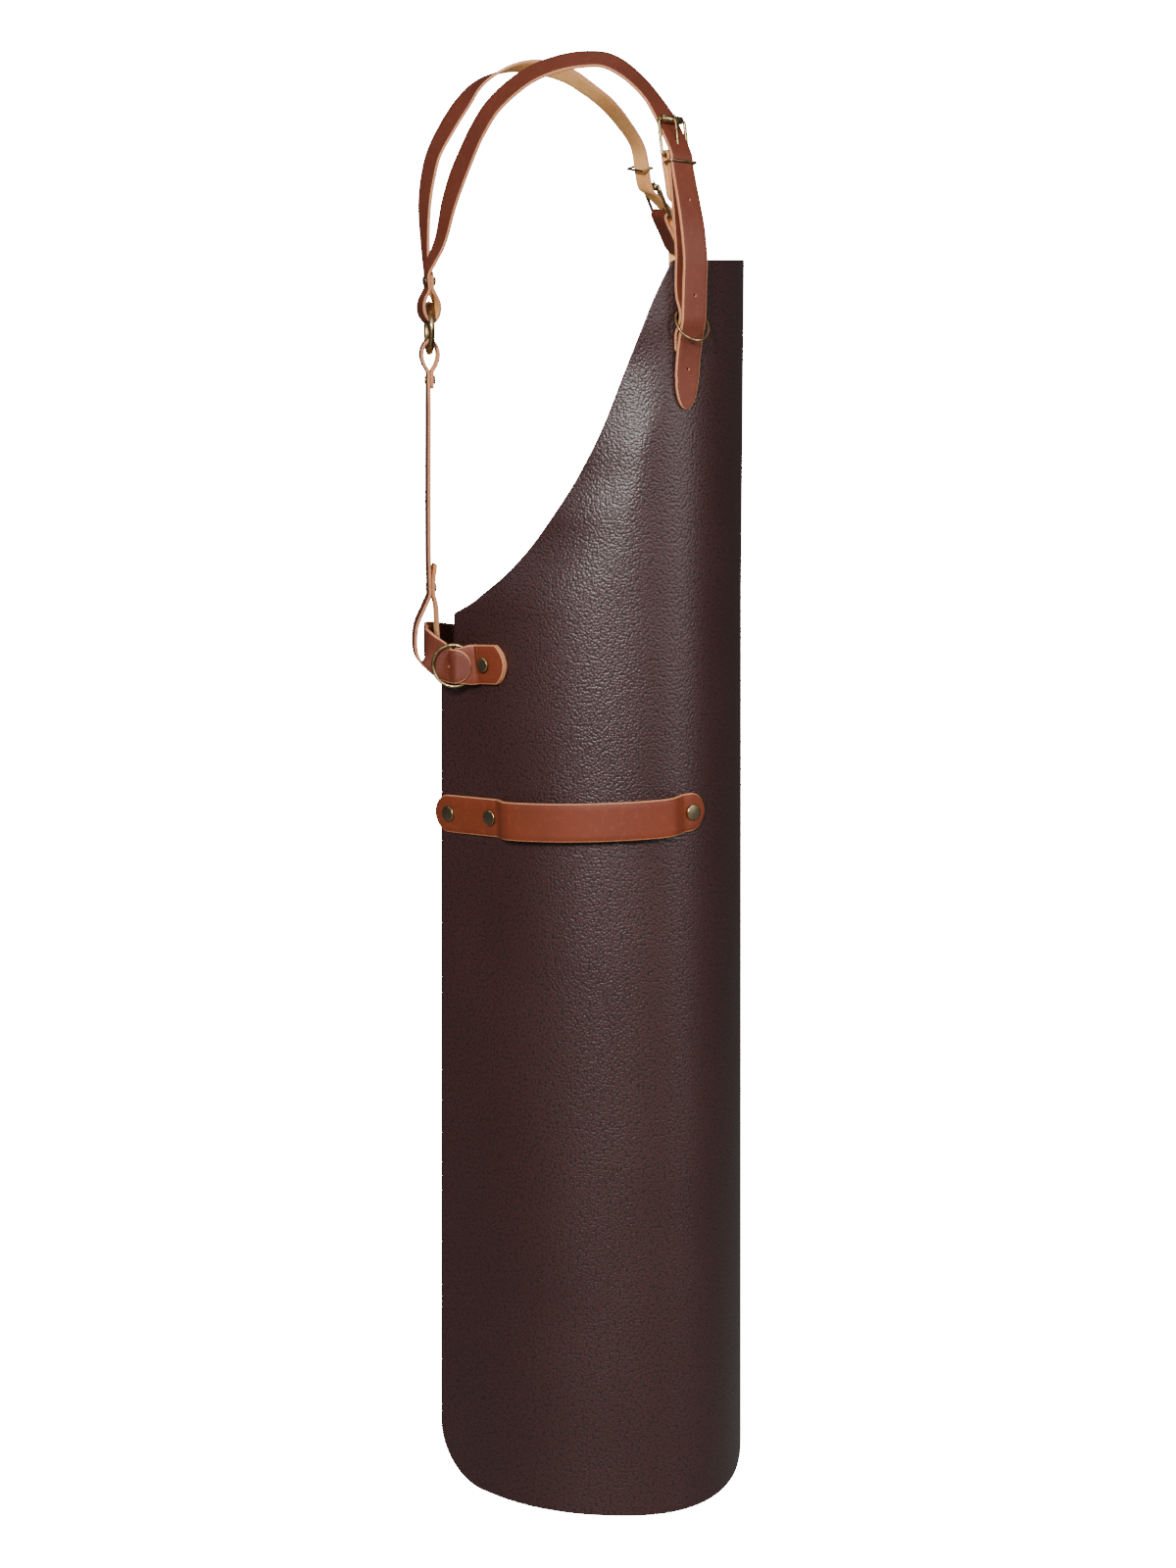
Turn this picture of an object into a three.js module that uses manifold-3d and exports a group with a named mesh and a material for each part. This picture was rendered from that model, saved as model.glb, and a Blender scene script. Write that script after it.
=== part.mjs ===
// Leather bib apron, held in the curve that it takes when it is worn.
// Millimetres, +Z up. The wearer faces -Y, and the wearer's right is -X.
// The origin lies between the shoulders, level with the underside of the right strap's highest point.

import * as THREE from "three";
import Module from "manifold-3d";

// Panel: one piece of leather, bib and skirt
const panelThickness = 1.6;
const panelHeight = 924.7;
const bibTopBelowShoulders = 137.3;
const bibHalfWidth = 151.6;
const waistHalfWidth = 318;
const skirtHalfWidth = 331.5;
const armholeDepth = 255;
const waistEdgeHeight = 22;
const waistStepHeight = 26;
const bibCornerRadius = 4;
const hemCornerRadius = 45;
const bibTurn = 2;
const waistTurn = -10;
const turnStart = 104;

// Curve of the worn panel, seen from above
const halfBreadth = 141;
const widestLine = 21;
const frontReach = 92.7;
const frontSquareness = 2.6;
const rearRadius = 128;
const rearTurn = 40;
const flareStart = 243.7;
const hemFlare = 0.052;

// Straps
const strapWidth = 20;
const strapThickness = 2.4;
const strapTipRadius = 7;
const clearance = 0.3;
const bendStep = 17;
const straightStep = 17;

// Side tabs, rings and belt
const tabWidth = 28.4;
const tabFoldWidth = 26;
const tabThickness = 2.2;
const tabRivetReach = 281.3;
const tabRivetDrop = 289.1;
const tabNose = 18;
const tabHinge = 7.6;
const tabSlope = 0.07;
const sideRingRadius = 15.2;
const sideRingWire = 1.25;
const sideRingFromHinge = 17.8;
const sideRingSwing = 36;
const tabFoldPastCentre = 5;
const beltWidth = 25;
const beltThickness = 2.4;
const beltEndPastRing = 14;
const beltBackDrop = 283.7;
const beltBackReach = 124.9;
const nearBeltRise = 14.5;
const farBeltRise = -10;

// Rivets
const rivetCapRadius = 5.9;
const rivetCapHeight = 1.9;
const rivetPostRadius = 1.8;
const rivetBackRadius = 4.6;
const rivetBackHeight = 1;
const bendAllowance = 0.7;
const strapRivetRadius = 3.3;

// Back ring and back strap
const backRingRadius = 17.75;
const backRingWire = 2.25;
const backRingReach = 121.2;
const backRingDrop = 50.5;
const backRingTwist = 13;
const backStrapWidth = 20;
const backLoopWidth = 14;
const loopHalf = 6.25;
const loopDepth = 10;
const backLoopDepth = 9.3;
const loopPinch = 20.5;
const loopStrapWidth = 11;
const loopTwist = 25;
const loopSpread = 30;
const loopLean = 18;

// Buckles, measured in the buckle's own frame
const buckleInnerWidth = 21.6;
const buckleHalfHeight = 13.3;
const buckleWire = 1.3;
const rollerRadius = 2.8;
const rollerWall = 1.1;
const rollerLength = 18.6;
const prongWire = 0.9;
const keeperWire = 0.9;
const foldPlyLength = 33;
const keeperSlack = 3.2;

// Bib rings
const bibRingRadius = 13.3;
const bibRingWire = 0.95;
const bibRingDrop = 44;
const bibRingTilt = 32;
const upperRivetDrop = 14;
const lowerRivetDrop = 56;
const tailTipDrop = 104;

// Towel band
const bandWidth = 28;
const bandThickness = 2.4;
const bandStandOff = 10;
const bandFrontReach = 111;
const bandBackReach = 334.5;
const bandFrontDrop = 392;
const bandSlope = 0.0575;
const bandFrontRivet = 122.5;
const bandMiddleRivet = 277.4;
const bandBackRivet = 320.3;
const bandStep = 15;

const wasm = await Module();
wasm.setup();

const degree = Math.PI / 180;
const hideStandOff = clearance + strapThickness / 2;
const point = (x, y, z) => new THREE.Vector3(x, y, z);
const mix = (a, b, t) => a + (b - a) * t;

// The panel's curve: a squared front, a round rear, then a straight free run to the cut edge

function planCurve() {
  const points = [];
  const frontSteps = 120;
  for (let i = 0; i <= frontSteps; i += 1) {
    const angle = (i / frontSteps) * 90 * degree;
    const across = halfBreadth * Math.sin(angle) ** (2 / frontSquareness);
    const ahead = frontReach * Math.max(0, Math.cos(angle)) ** (2 / frontSquareness);
    points.push([across, -widestLine - ahead]);
  }
  const rearSteps = 40;
  for (let i = 1; i <= rearSteps; i += 1) {
    const angle = (i / rearSteps) * rearTurn * degree;
    points.push([
      halfBreadth - rearRadius * (1 - Math.cos(angle)),
      -widestLine + rearRadius * Math.sin(angle),
    ]);
  }
  const [x, y] = points[points.length - 1];
  const run = 2 * skirtHalfWidth;
  points.push([x - run * Math.sin(rearTurn * degree), y + run * Math.cos(rearTurn * degree)]);
  const reaches = [0];
  for (let i = 1; i < points.length; i += 1) {
    const step = Math.hypot(points[i][0] - points[i - 1][0], points[i][1] - points[i - 1][1]);
    reaches.push(reaches[i - 1] + step);
  }
  return { points, reaches };
}

const plan = planCurve();

function planAt(distance) {
  const reach = Math.abs(distance);
  let i = 1;
  while (i < plan.reaches.length - 1 && plan.reaches[i] < reach) i += 1;
  const [x0, y0] = plan.points[i - 1];
  const [x1, y1] = plan.points[i];
  const length = plan.reaches[i] - plan.reaches[i - 1];
  const t = (reach - plan.reaches[i - 1]) / length;
  const sign = distance < 0 ? -1 : 1;
  return {
    x: sign * mix(x0, x1, t),
    y: mix(y0, y1, t),
    alongX: sign * (x1 - x0) / length,
    alongY: (y1 - y0) / length,
  };
}

const levelOf = (drop) => -bibTopBelowShoulders - drop;
const flareAt = (drop) => {
  const share = Math.max(0, drop - flareStart) / (panelHeight - flareStart);
  return 1 + hemFlare * share;
};

// The worn panel is turned a little round the body, one way at the bib and the other at the waist
function turnAt(drop) {
  const share = Math.min(1, Math.max(0, (drop - turnStart) / (armholeDepth - turnStart)));
  return mix(bibTurn, waistTurn, share * share * (3 - 2 * share));
}

// side is -1 on the wearer's right and 1 on the left; reach runs round the panel from its middle
function panelFrame(side, reach, drop) {
  const distance = side * reach + turnAt(drop);
  const at = planAt(distance);
  const sign = Math.sign(distance) || 1;
  const along = point(at.alongX, at.alongY, 0);
  const outward = point(sign * at.alongY, -sign * at.alongX, 0);
  return { at, along, outward };
}

function onPanel(side, reach, drop, off) {
  const { at, outward } = panelFrame(side, reach, drop);
  const flare = flareAt(drop);
  return point(at.x * flare, at.y * flare, levelOf(drop)).addScaledVector(outward, off);
}

// Meshes

function closedMesh(quads) {
  const positions = [];
  for (const [a, b, c, d] of quads) {
    for (const corner of d ? [a, b, c, a, c, d] : [a, b, c]) positions.push(...corner);
  }
  let volume = 0;
  for (let i = 0; i < positions.length; i += 9) {
    const a = point(...positions.slice(i, i + 3));
    const b = point(...positions.slice(i + 3, i + 6));
    const c = point(...positions.slice(i + 6, i + 9));
    volume += a.dot(b.cross(c));
  }
  if (volume < 0) {
    for (let i = 0; i < positions.length; i += 9) {
      const second = positions.slice(i + 3, i + 6);
      positions.splice(i + 3, 6, ...positions.slice(i + 6, i + 9), ...second);
    }
  }
  const geometry = new THREE.BufferGeometry();
  geometry.setAttribute("position", new THREE.Float32BufferAttribute(positions, 3));
  return geometry;
}

// A closed slab between two grids of points, each grid[row][column]
function slab(outer, inner) {
  const rows = outer.length - 1;
  const columns = outer[0].length - 1;
  const quads = [];
  for (let r = 0; r < rows; r += 1) {
    for (let c = 0; c < columns; c += 1) {
      quads.push([outer[r][c], outer[r][c + 1], outer[r + 1][c + 1], outer[r + 1][c]]);
      quads.push([inner[r][c], inner[r + 1][c], inner[r + 1][c + 1], inner[r][c + 1]]);
    }
    quads.push([outer[r][0], outer[r + 1][0], inner[r + 1][0], inner[r][0]]);
    quads.push([inner[r][columns], inner[r + 1][columns], outer[r + 1][columns], outer[r][columns]]);
  }
  for (let c = 0; c < columns; c += 1) {
    quads.push([inner[0][c], inner[0][c + 1], outer[0][c + 1], outer[0][c]]);
    quads.push([outer[rows][c], outer[rows][c + 1], inner[rows][c + 1], inner[rows][c]]);
  }
  return closedMesh(quads.map((quad) => quad.map((p) => p.toArray())));
}

// A closed rod whose section rings follow each other round a loop, or end in flat caps
function rod(rings, looped) {
  const quads = [];
  const sides = rings[0].length;
  const last = looped ? rings.length : rings.length - 1;
  for (let r = 0; r < last; r += 1) {
    const here = rings[r];
    const next = rings[(r + 1) % rings.length];
    for (let s = 0; s < sides; s += 1) {
      const t = (s + 1) % sides;
      quads.push([here[s], here[t], next[t], next[s]]);
    }
  }
  if (!looped) {
    for (let s = 1; s < sides - 1; s += 1) {
      quads.push([rings[0][0], rings[0][s + 1], rings[0][s]]);
      quads.push([rings[last][0], rings[last][s], rings[last][s + 1]]);
    }
  }
  return closedMesh(quads.map((quad) => quad.map((p) => p.toArray())));
}

function toSolid(geometry) {
  const bare = geometry.index ? geometry.toNonIndexed() : geometry;
  const positions = bare.getAttribute("position").array;
  const places = new Map();
  const vertices = [];
  const triangles = [];
  for (let i = 0; i < positions.length; i += 3) {
    const key = [0, 1, 2].map((k) => Math.round(positions[i + k] * 1e4)).join(" ");
    if (!places.has(key)) {
      places.set(key, vertices.length / 3);
      vertices.push(positions[i], positions[i + 1], positions[i + 2]);
    }
    triangles.push(places.get(key));
  }
  const faces = [];
  for (let i = 0; i < triangles.length; i += 3) {
    const [a, b, c] = triangles.slice(i, i + 3);
    if (a !== b && b !== c && c !== a) faces.push(a, b, c);
  }
  return new wasm.Manifold(new wasm.Mesh({
    numProp: 3,
    vertProperties: new Float32Array(vertices),
    triVerts: new Uint32Array(faces),
  }));
}

function fromSolid(solid) {
  const mesh = solid.getMesh();
  const geometry = new THREE.BufferGeometry();
  geometry.setAttribute("position", new THREE.BufferAttribute(mesh.vertProperties, 3));
  geometry.setIndex(new THREE.BufferAttribute(mesh.triVerts, 1));
  return geometry;
}

// Round plugs that bore holes along an axis
function bored(geometry, holes) {
  let solid = toSolid(geometry);
  for (const { place, axis, radius, length } of holes) {
    const plug = new THREE.CylinderGeometry(radius, radius, length, 10);
    plug.applyQuaternion(turnFromUp(axis));
    plug.translate(place.x, place.y, place.z);
    solid = solid.subtract(toSolid(plug));
  }
  return fromSolid(solid);
}

const turnFromUp = (axis) => {
  return new THREE.Quaternion().setFromUnitVectors(point(0, 1, 0), axis.clone().normalize());
};

// A flat strap that follows stations of { place, face, width }, with rounded corners at both ends.
// face is the way the grain side looks.
function strap(stations, width, thickness, startRadius, endRadius) {
  const curve = new THREE.CatmullRomCurve3(stations.map((s) => s.place), false, "centripetal");
  curve.arcLengthDivisions = 600;
  const length = curve.getLength();
  const distances = [0, length];
  const fine = Math.ceil(length / 0.8);
  let turned = 0;
  let gone = 0;
  for (let i = 1; i < fine; i += 1) {
    const here = curve.getTangentAt(i / fine);
    turned += here.angleTo(curve.getTangentAt((i - 1) / fine));
    gone += length / fine;
    if (turned > bendStep * degree || gone > straightStep) {
      distances.push((i / fine) * length);
      turned = 0;
      gone = 0;
    }
  }
  for (const turn of [0.25, 0.55, 0.8, 1]) {
    const share = 1 - Math.cos(turn * 90 * degree);
    if (startRadius > 0) distances.push(startRadius * share);
    if (endRadius > 0) distances.push(length - endRadius * share);
  }
  distances.sort((a, b) => a - b);
  const kept = distances.filter((d, i) => i === 0 || d - distances[i - 1] > 0.2);
  const outer = [];
  const inner = [];
  for (const distance of kept) {
    const t = curve.getUtoTmapping(Math.min(1, distance / length));
    const place = curve.getPoint(t);
    const tangent = curve.getTangent(t);
    const spot = t * (stations.length - 1);
    const i = Math.min(stations.length - 2, Math.floor(spot));
    const face = stations[i].face.clone().lerp(stations[i + 1].face, spot - i).normalize();
    const across = tangent.clone().cross(face).normalize();
    const out = across.clone().cross(tangent).normalize();
    const wide = mix(stations[i].width ?? width, stations[i + 1].width ?? width, spot - i) / 2;
    let half = wide;
    for (const [radius, from] of [[startRadius, distance], [endRadius, length - distance]]) {
      if (from < radius) half -= radius - Math.sqrt(Math.max(0, radius ** 2 - (radius - from) ** 2));
    }
    half = Math.max(half, 0.5);
    const row = (lift) => [-half, half].map((h) => place.clone()
      .addScaledVector(across, h).addScaledVector(out, lift));
    outer.push(row(thickness / 2));
    inner.push(row(-thickness / 2));
  }
  return slab(outer, inner);
}

// A wire bent round closed corner points, each corner a quarter round
function wireLoop(halfWidth, low, high, corner, radius, toWorld) {
  const path = [];
  const corners = [[1, high, 0], [-1, high, 90], [-1, low, 180], [1, low, 270]];
  for (const [sign, edge, start] of corners) {
    const centreX = sign * (halfWidth - corner);
    const centreY = edge - Math.sign(edge - (low + high) / 2) * corner;
    for (const turn of [0, 45, 90]) {
      const angle = (start + turn) * degree;
      const out = [Math.cos(angle), Math.sin(angle)];
      path.push({ x: centreX + corner * out[0], y: centreY + corner * out[1], out });
    }
  }
  return rod(path.map(({ x, y, out }) => {
    const ring = [];
    for (let s = 0; s < 6; s += 1) {
      const angle = (s / 6) * 360 * degree;
      const inPlane = radius * Math.cos(angle);
      ring.push(toWorld(x + out[0] * inPlane, y + out[1] * inPlane, radius * Math.sin(angle)));
    }
    return ring;
  }), true);
}

function ring(radius, wire, centre, normal, segments, sides) {
  const geometry = new THREE.TorusGeometry(radius, wire, sides, segments);
  geometry.applyQuaternion(new THREE.Quaternion().setFromUnitVectors(point(0, 0, 1), normal));
  geometry.translate(centre.x, centre.y, centre.z);
  return geometry;
}

// A rivet along +Y: domed cap above seatHigh, post, and a plain washer below seatLow
function rivet(capRadius, capHeight, seatHigh, seatLow, place, axis) {
  const top = seatHigh + clearance;
  const low = seatLow - clearance;
  const rim = capHeight * 0.35;
  const profile = [
    [0, low - rivetBackHeight],
    [Math.min(rivetBackRadius, capRadius), low - rivetBackHeight],
    [Math.min(rivetBackRadius, capRadius), low],
    [rivetPostRadius, low],
    [rivetPostRadius, top],
    [capRadius, top],
    [capRadius, top + rim],
    [capRadius * 0.6, top + capHeight * 0.85],
    [0, top + capHeight],
  ];
  const geometry = new THREE.LatheGeometry(profile.map(([r, h]) => new THREE.Vector2(r, h)), 8);
  geometry.applyQuaternion(turnFromUp(axis));
  geometry.translate(place.x, place.y, place.z);
  return geometry;
}

const hole = (place, axis, length) => {
  return { place, axis, radius: rivetPostRadius + clearance, length };
};

// Colours and finish
const finishes = {
  panelLeather: { color: "#4a3636", roughness: 0.55, metalness: 0 },
  bandLeather: { color: "#8a4a30", roughness: 0.5, metalness: 0 },
  strapLeather: { color: "#7c4a38", roughness: 0.5, metalness: 0 },
  antiqueBrass: { color: "#8a7658", roughness: 0.35, metalness: 1 },
};

const apron = new THREE.Group();

function add(name, geometry, finish) {
  const mesh = new THREE.Mesh(geometry, new THREE.MeshStandardMaterial(finishes[finish]));
  mesh.name = name;
  apron.add(mesh);
}

// Edge of the panel: how far round it reaches at each depth, as shares of the armhole

const armhole = [
  { down: 0.105, out: 0.077 },
  { down: 0.214, out: 0.145 },
  { down: 0.336, out: 0.221 },
  { down: 0.452, out: 0.292 },
  { down: 0.525, out: 0.343 },
  { down: 0.673, out: 0.463 },
  { down: 0.797, out: 0.596 },
  { down: 0.873, out: 0.704 },
  { down: 0.926, out: 0.807 },
  { down: 0.964, out: 0.889 },
  { down: 1, out: 1 },
];

function panelRows() {
  const rows = [
    { drop: 0, reach: bibHalfWidth - bibCornerRadius },
    { drop: bibCornerRadius * 0.3, reach: bibHalfWidth - bibCornerRadius * 0.25 },
    { drop: bibCornerRadius, reach: bibHalfWidth + bibCornerRadius * 0.3 },
  ];
  for (const { down, out } of armhole) {
    rows.push({ drop: down * armholeDepth, reach: mix(bibHalfWidth, waistHalfWidth, out) });
  }
  const waist = armholeDepth + waistEdgeHeight;
  rows.push({ drop: waist, reach: waistHalfWidth });
  rows.push({ drop: waist + waistStepHeight, reach: skirtHalfWidth });
  const cornerTop = panelHeight - hemCornerRadius;
  const skirtSteps = 3;
  for (let i = 1; i <= skirtSteps; i += 1) {
    rows.push({ drop: mix(waist + waistStepHeight, cornerTop, i / skirtSteps), reach: skirtHalfWidth });
  }
  for (const turn of [25, 50, 72, 90]) {
    rows.push({
      drop: cornerTop + hemCornerRadius * Math.sin(turn * degree),
      reach: skirtHalfWidth - hemCornerRadius * (1 - Math.cos(turn * degree)),
    });
  }
  return rows;
}

function panelGeometry(holes) {
  const columns = 34;
  const outer = [];
  const inner = [];
  for (const { drop, reach } of panelRows()) {
    const face = [];
    const back = [];
    for (let c = 0; c <= columns; c += 1) {
      const along = mix(-reach, reach, c / columns);
      const side = along < 0 ? -1 : 1;
      face.push(onPanel(side, Math.abs(along), drop, 0));
      back.push(onPanel(side, Math.abs(along), drop, -panelThickness));
    }
    outer.push(face);
    inner.push(back);
  }
  return bored(slab(outer, inner), holes);
}

// Side tab, its ring and rivet, in a plane frame at the hinge where ring and tab swing outwards

const plyLift = clearance + tabThickness / 2;
const ringLift = sideRingWire + clearance * 1.5 + tabThickness / 2;
const tabDropAt = (reach) => tabRivetDrop + (reach - tabRivetReach) * tabSlope;

function ringFrame(side) {
  const hingeReach = tabRivetReach + tabHinge;
  const { along, outward } = panelFrame(side, hingeReach, tabRivetDrop);
  const swing = sideRingSwing * degree;
  const away = along.clone().multiplyScalar(Math.cos(swing)).addScaledVector(outward, Math.sin(swing));
  const face = outward.clone().multiplyScalar(Math.cos(swing)).addScaledVector(along, -Math.sin(swing));
  const centreDrop = tabDropAt(hingeReach + sideRingFromHinge);
  const centre = onPanel(side, hingeReach, tabRivetDrop, plyLift + ringLift);
  centre.addScaledVector(away, sideRingFromHinge);
  centre.z = levelOf(centreDrop);
  // toHinge counts from the ring's centre towards the tab, lift along the ring's face
  const at = (toHinge, lift, rise = 0) => centre.clone()
    .addScaledVector(away, -toHinge).addScaledVector(face, lift)
    .add(point(0, 0, rise + toHinge * tabSlope));
  return { centre, away, face, at };
}

function tabStations(side) {
  const frame = ringFrame(side);
  const { outward } = panelFrame(side, tabRivetReach, tabRivetDrop);
  const nose = tabRivetReach - tabNose;
  const hinge = tabRivetReach + tabHinge;
  const lowLift = plyLift;
  const highLift = plyLift + tabThickness + clearance;
  const onFace = (reach, lift) => onPanel(side, reach, tabDropAt(reach), lift);
  const flat = outward.clone();
  const mid = outward.clone().add(frame.face).normalize();
  const stations = [];
  const low = [nose, mix(nose, tabRivetReach, 0.5), tabRivetReach, tabRivetReach + tabHinge * 0.8];
  for (const reach of low) {
    stations.push({ place: onFace(reach, lowLift), face: flat.clone().negate(), width: tabWidth });
  }
  stations.push({ place: onFace(hinge, lowLift + 0.35), face: mid.clone().negate(), width: tabWidth });
  const shares = [
    { toHinge: 1.1, width: tabWidth },
    { toHinge: 0.8, width: tabWidth },
    { toHinge: 0.5, width: mix(tabWidth, tabFoldWidth, 0.6) },
  ];
  for (const { toHinge, width } of shares) {
    const place = frame.at(toHinge * sideRingRadius, -ringLift);
    stations.push({ place, face: frame.face.clone().negate(), width });
  }
  for (const angle of [-90, -45, 0, 45, 90]) {
    const round = angle * degree;
    const place = frame.at(tabFoldPastCentre - ringLift * Math.cos(round), ringLift * Math.sin(round));
    const face = frame.face.clone().multiplyScalar(Math.sin(round))
      .addScaledVector(frame.away, Math.cos(round));
    stations.push({ place, face, width: tabFoldWidth });
  }
  for (const { toHinge, width } of [...shares].reverse()) {
    const place = frame.at(toHinge * sideRingRadius, ringLift);
    stations.push({ place, face: frame.face.clone(), width });
  }
  stations.push({ place: onFace(hinge, highLift + 0.4), face: mid.clone(), width: tabWidth });
  for (const reach of [...low].reverse()) {
    stations.push({ place: onFace(reach, highLift), face: flat.clone(), width: tabWidth });
  }
  return stations;
}

const tabTopLift = clearance * 2 + tabThickness * 2;
const panelHoles = [];

for (const [side, name] of [[-1, "right"], [1, "left"]]) {
  const { outward } = panelFrame(side, tabRivetReach, tabRivetDrop);
  const seat = onPanel(side, tabRivetReach, tabRivetDrop, 0);
  const through = hole(seat, outward, 30);
  const frame = ringFrame(side);
  const tab = strap(tabStations(side), tabWidth, tabThickness, tabWidth / 2, tabWidth / 2);
  add(`side_tab_${name}`, bored(tab, [{ ...through, length: 14 }]), "bandLeather");
  add(`side_ring_${name}`,
    ring(sideRingRadius, sideRingWire, frame.centre, frame.face, 20, 6), "antiqueBrass");
  add(`tab_rivet_${name}`,
    rivet(rivetCapRadius - clearance, rivetCapHeight, tabTopLift + clearance * 4,
      -panelThickness - bendAllowance * 1.4, seat, outward), "antiqueBrass");
  panelHoles.push({ ...through, length: 14 });
}

// Waist belt: from one ring round the back to the other, its ends laid over the tabs

function beltHalf(side) {
  const frame = ringFrame(side);
  const lift = ringLift + tabThickness / 2 + clearance + beltThickness / 2;
  const under = sideRingWire + clearance * 2.5 + beltThickness / 2;
  const face = frame.face.clone();
  const entering = face.clone().addScaledVector(frame.away, 0.9).normalize();
  const turned = face.clone().addScaledVector(frame.away, 1).normalize();
  const back = point(0, 1, 0);
  const rise = side < 0 ? nearBeltRise : farBeltRise;
  const bend = frame.at(-sideRingRadius - 5.5, -under - 5, rise);
  return [
    { place: frame.at(beltEndPastRing, lift + 0.1, -1.5), face },
    { place: frame.at(beltEndPastRing * 0.5, lift + 0.1, -0.5), face },
    { place: frame.at(tabFoldPastCentre - ringLift, lift, 0), face },
    { place: frame.at(-3.2, -0.6, 0.2), face: entering },
    { place: frame.at(-8, -under - 0.4, rise * 0.15), face },
    { place: frame.at(-sideRingRadius, -under - 0.2, rise * 0.65), face },
    { place: frame.at(-sideRingRadius - 3.6, -under - 1.4, rise * 0.9), face: turned },
    { place: bend, face: back.clone().addScaledVector(face, 0.15).normalize() },
    { place: point(bend.x * 0.6, mix(bend.y, beltBackReach, 0.4), mix(bend.z, levelOf(beltBackDrop), 0.45)),
      face: back },
  ];
}

const beltBack = { place: point(0, beltBackReach, levelOf(beltBackDrop)), face: point(0, 1, 0) };
const beltStations = [...beltHalf(-1), beltBack, ...beltHalf(1).reverse()];
add("waist_belt",
  strap(beltStations, beltWidth, beltThickness, beltWidth / 2, beltWidth / 2), "strapLeather");

// Back ring

const backRingCentre = point(0, backRingReach, -bibTopBelowShoulders - backRingDrop);
const backRingAxis = point(Math.sin(backRingTwist * degree), -Math.cos(backRingTwist * degree), 0);
const acrossRing = point(Math.cos(backRingTwist * degree), Math.sin(backRingTwist * degree), 0);
add("back_ring", ring(backRingRadius, backRingWire, backRingCentre, backRingAxis, 22, 8), "antiqueBrass");

// A loop round a wire, in a plane along its direction and rear. out is along the strap, below zero a share of the
// loop's depth; ply counts half gaps between the plies and open half widths of the open loop.
const plyGap = strapThickness + clearance;
const ringLoop = [
  { out: 27, ply: -0.5, open: 0 },
  { out: 21, ply: -0.5, open: 0 },
  { out: 15, ply: -0.5, open: 0 },
  { out: 8.5, ply: 0, open: -0.75 },
  { out: 2, ply: 0, open: -1 },
  { out: -0.55, ply: 0, open: -0.72 },
  { out: -1, ply: 0, open: 0 },
  { out: -0.55, ply: 0, open: 0.72 },
  { out: 2, ply: 0, open: 1 },
  { out: 8.5, ply: 0, open: 0.75 },
  { out: 15, ply: 0.5, open: 0 },
  { out: 21, ply: 0.5, open: 0 },
  { out: 27, ply: 0.5, open: 0 },
];

function loopStations(wireAt, direction, rear, width, depth) {
  const places = ringLoop.map(({ out, ply, open }) => wireAt.clone()
    .addScaledVector(direction, out < 0 ? out * depth : out)
    .addScaledVector(rear, ply * plyGap + open * loopHalf));
  return places.map((place, i) => {
    const before = places[Math.max(0, i - 1)];
    const after = places[Math.min(places.length - 1, i + 1)];
    const tangent = after.clone().sub(before).normalize();
    const across = direction.clone().cross(rear).normalize();
    const face = across.clone().cross(tangent).normalize();
    return { place, face, width };
  });
}

// Shoulder straps. forward and rise are shares of the way from the back ring to the buckle
// and of the strap's height over the ring, out is the share of the way from the ring's middle

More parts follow.
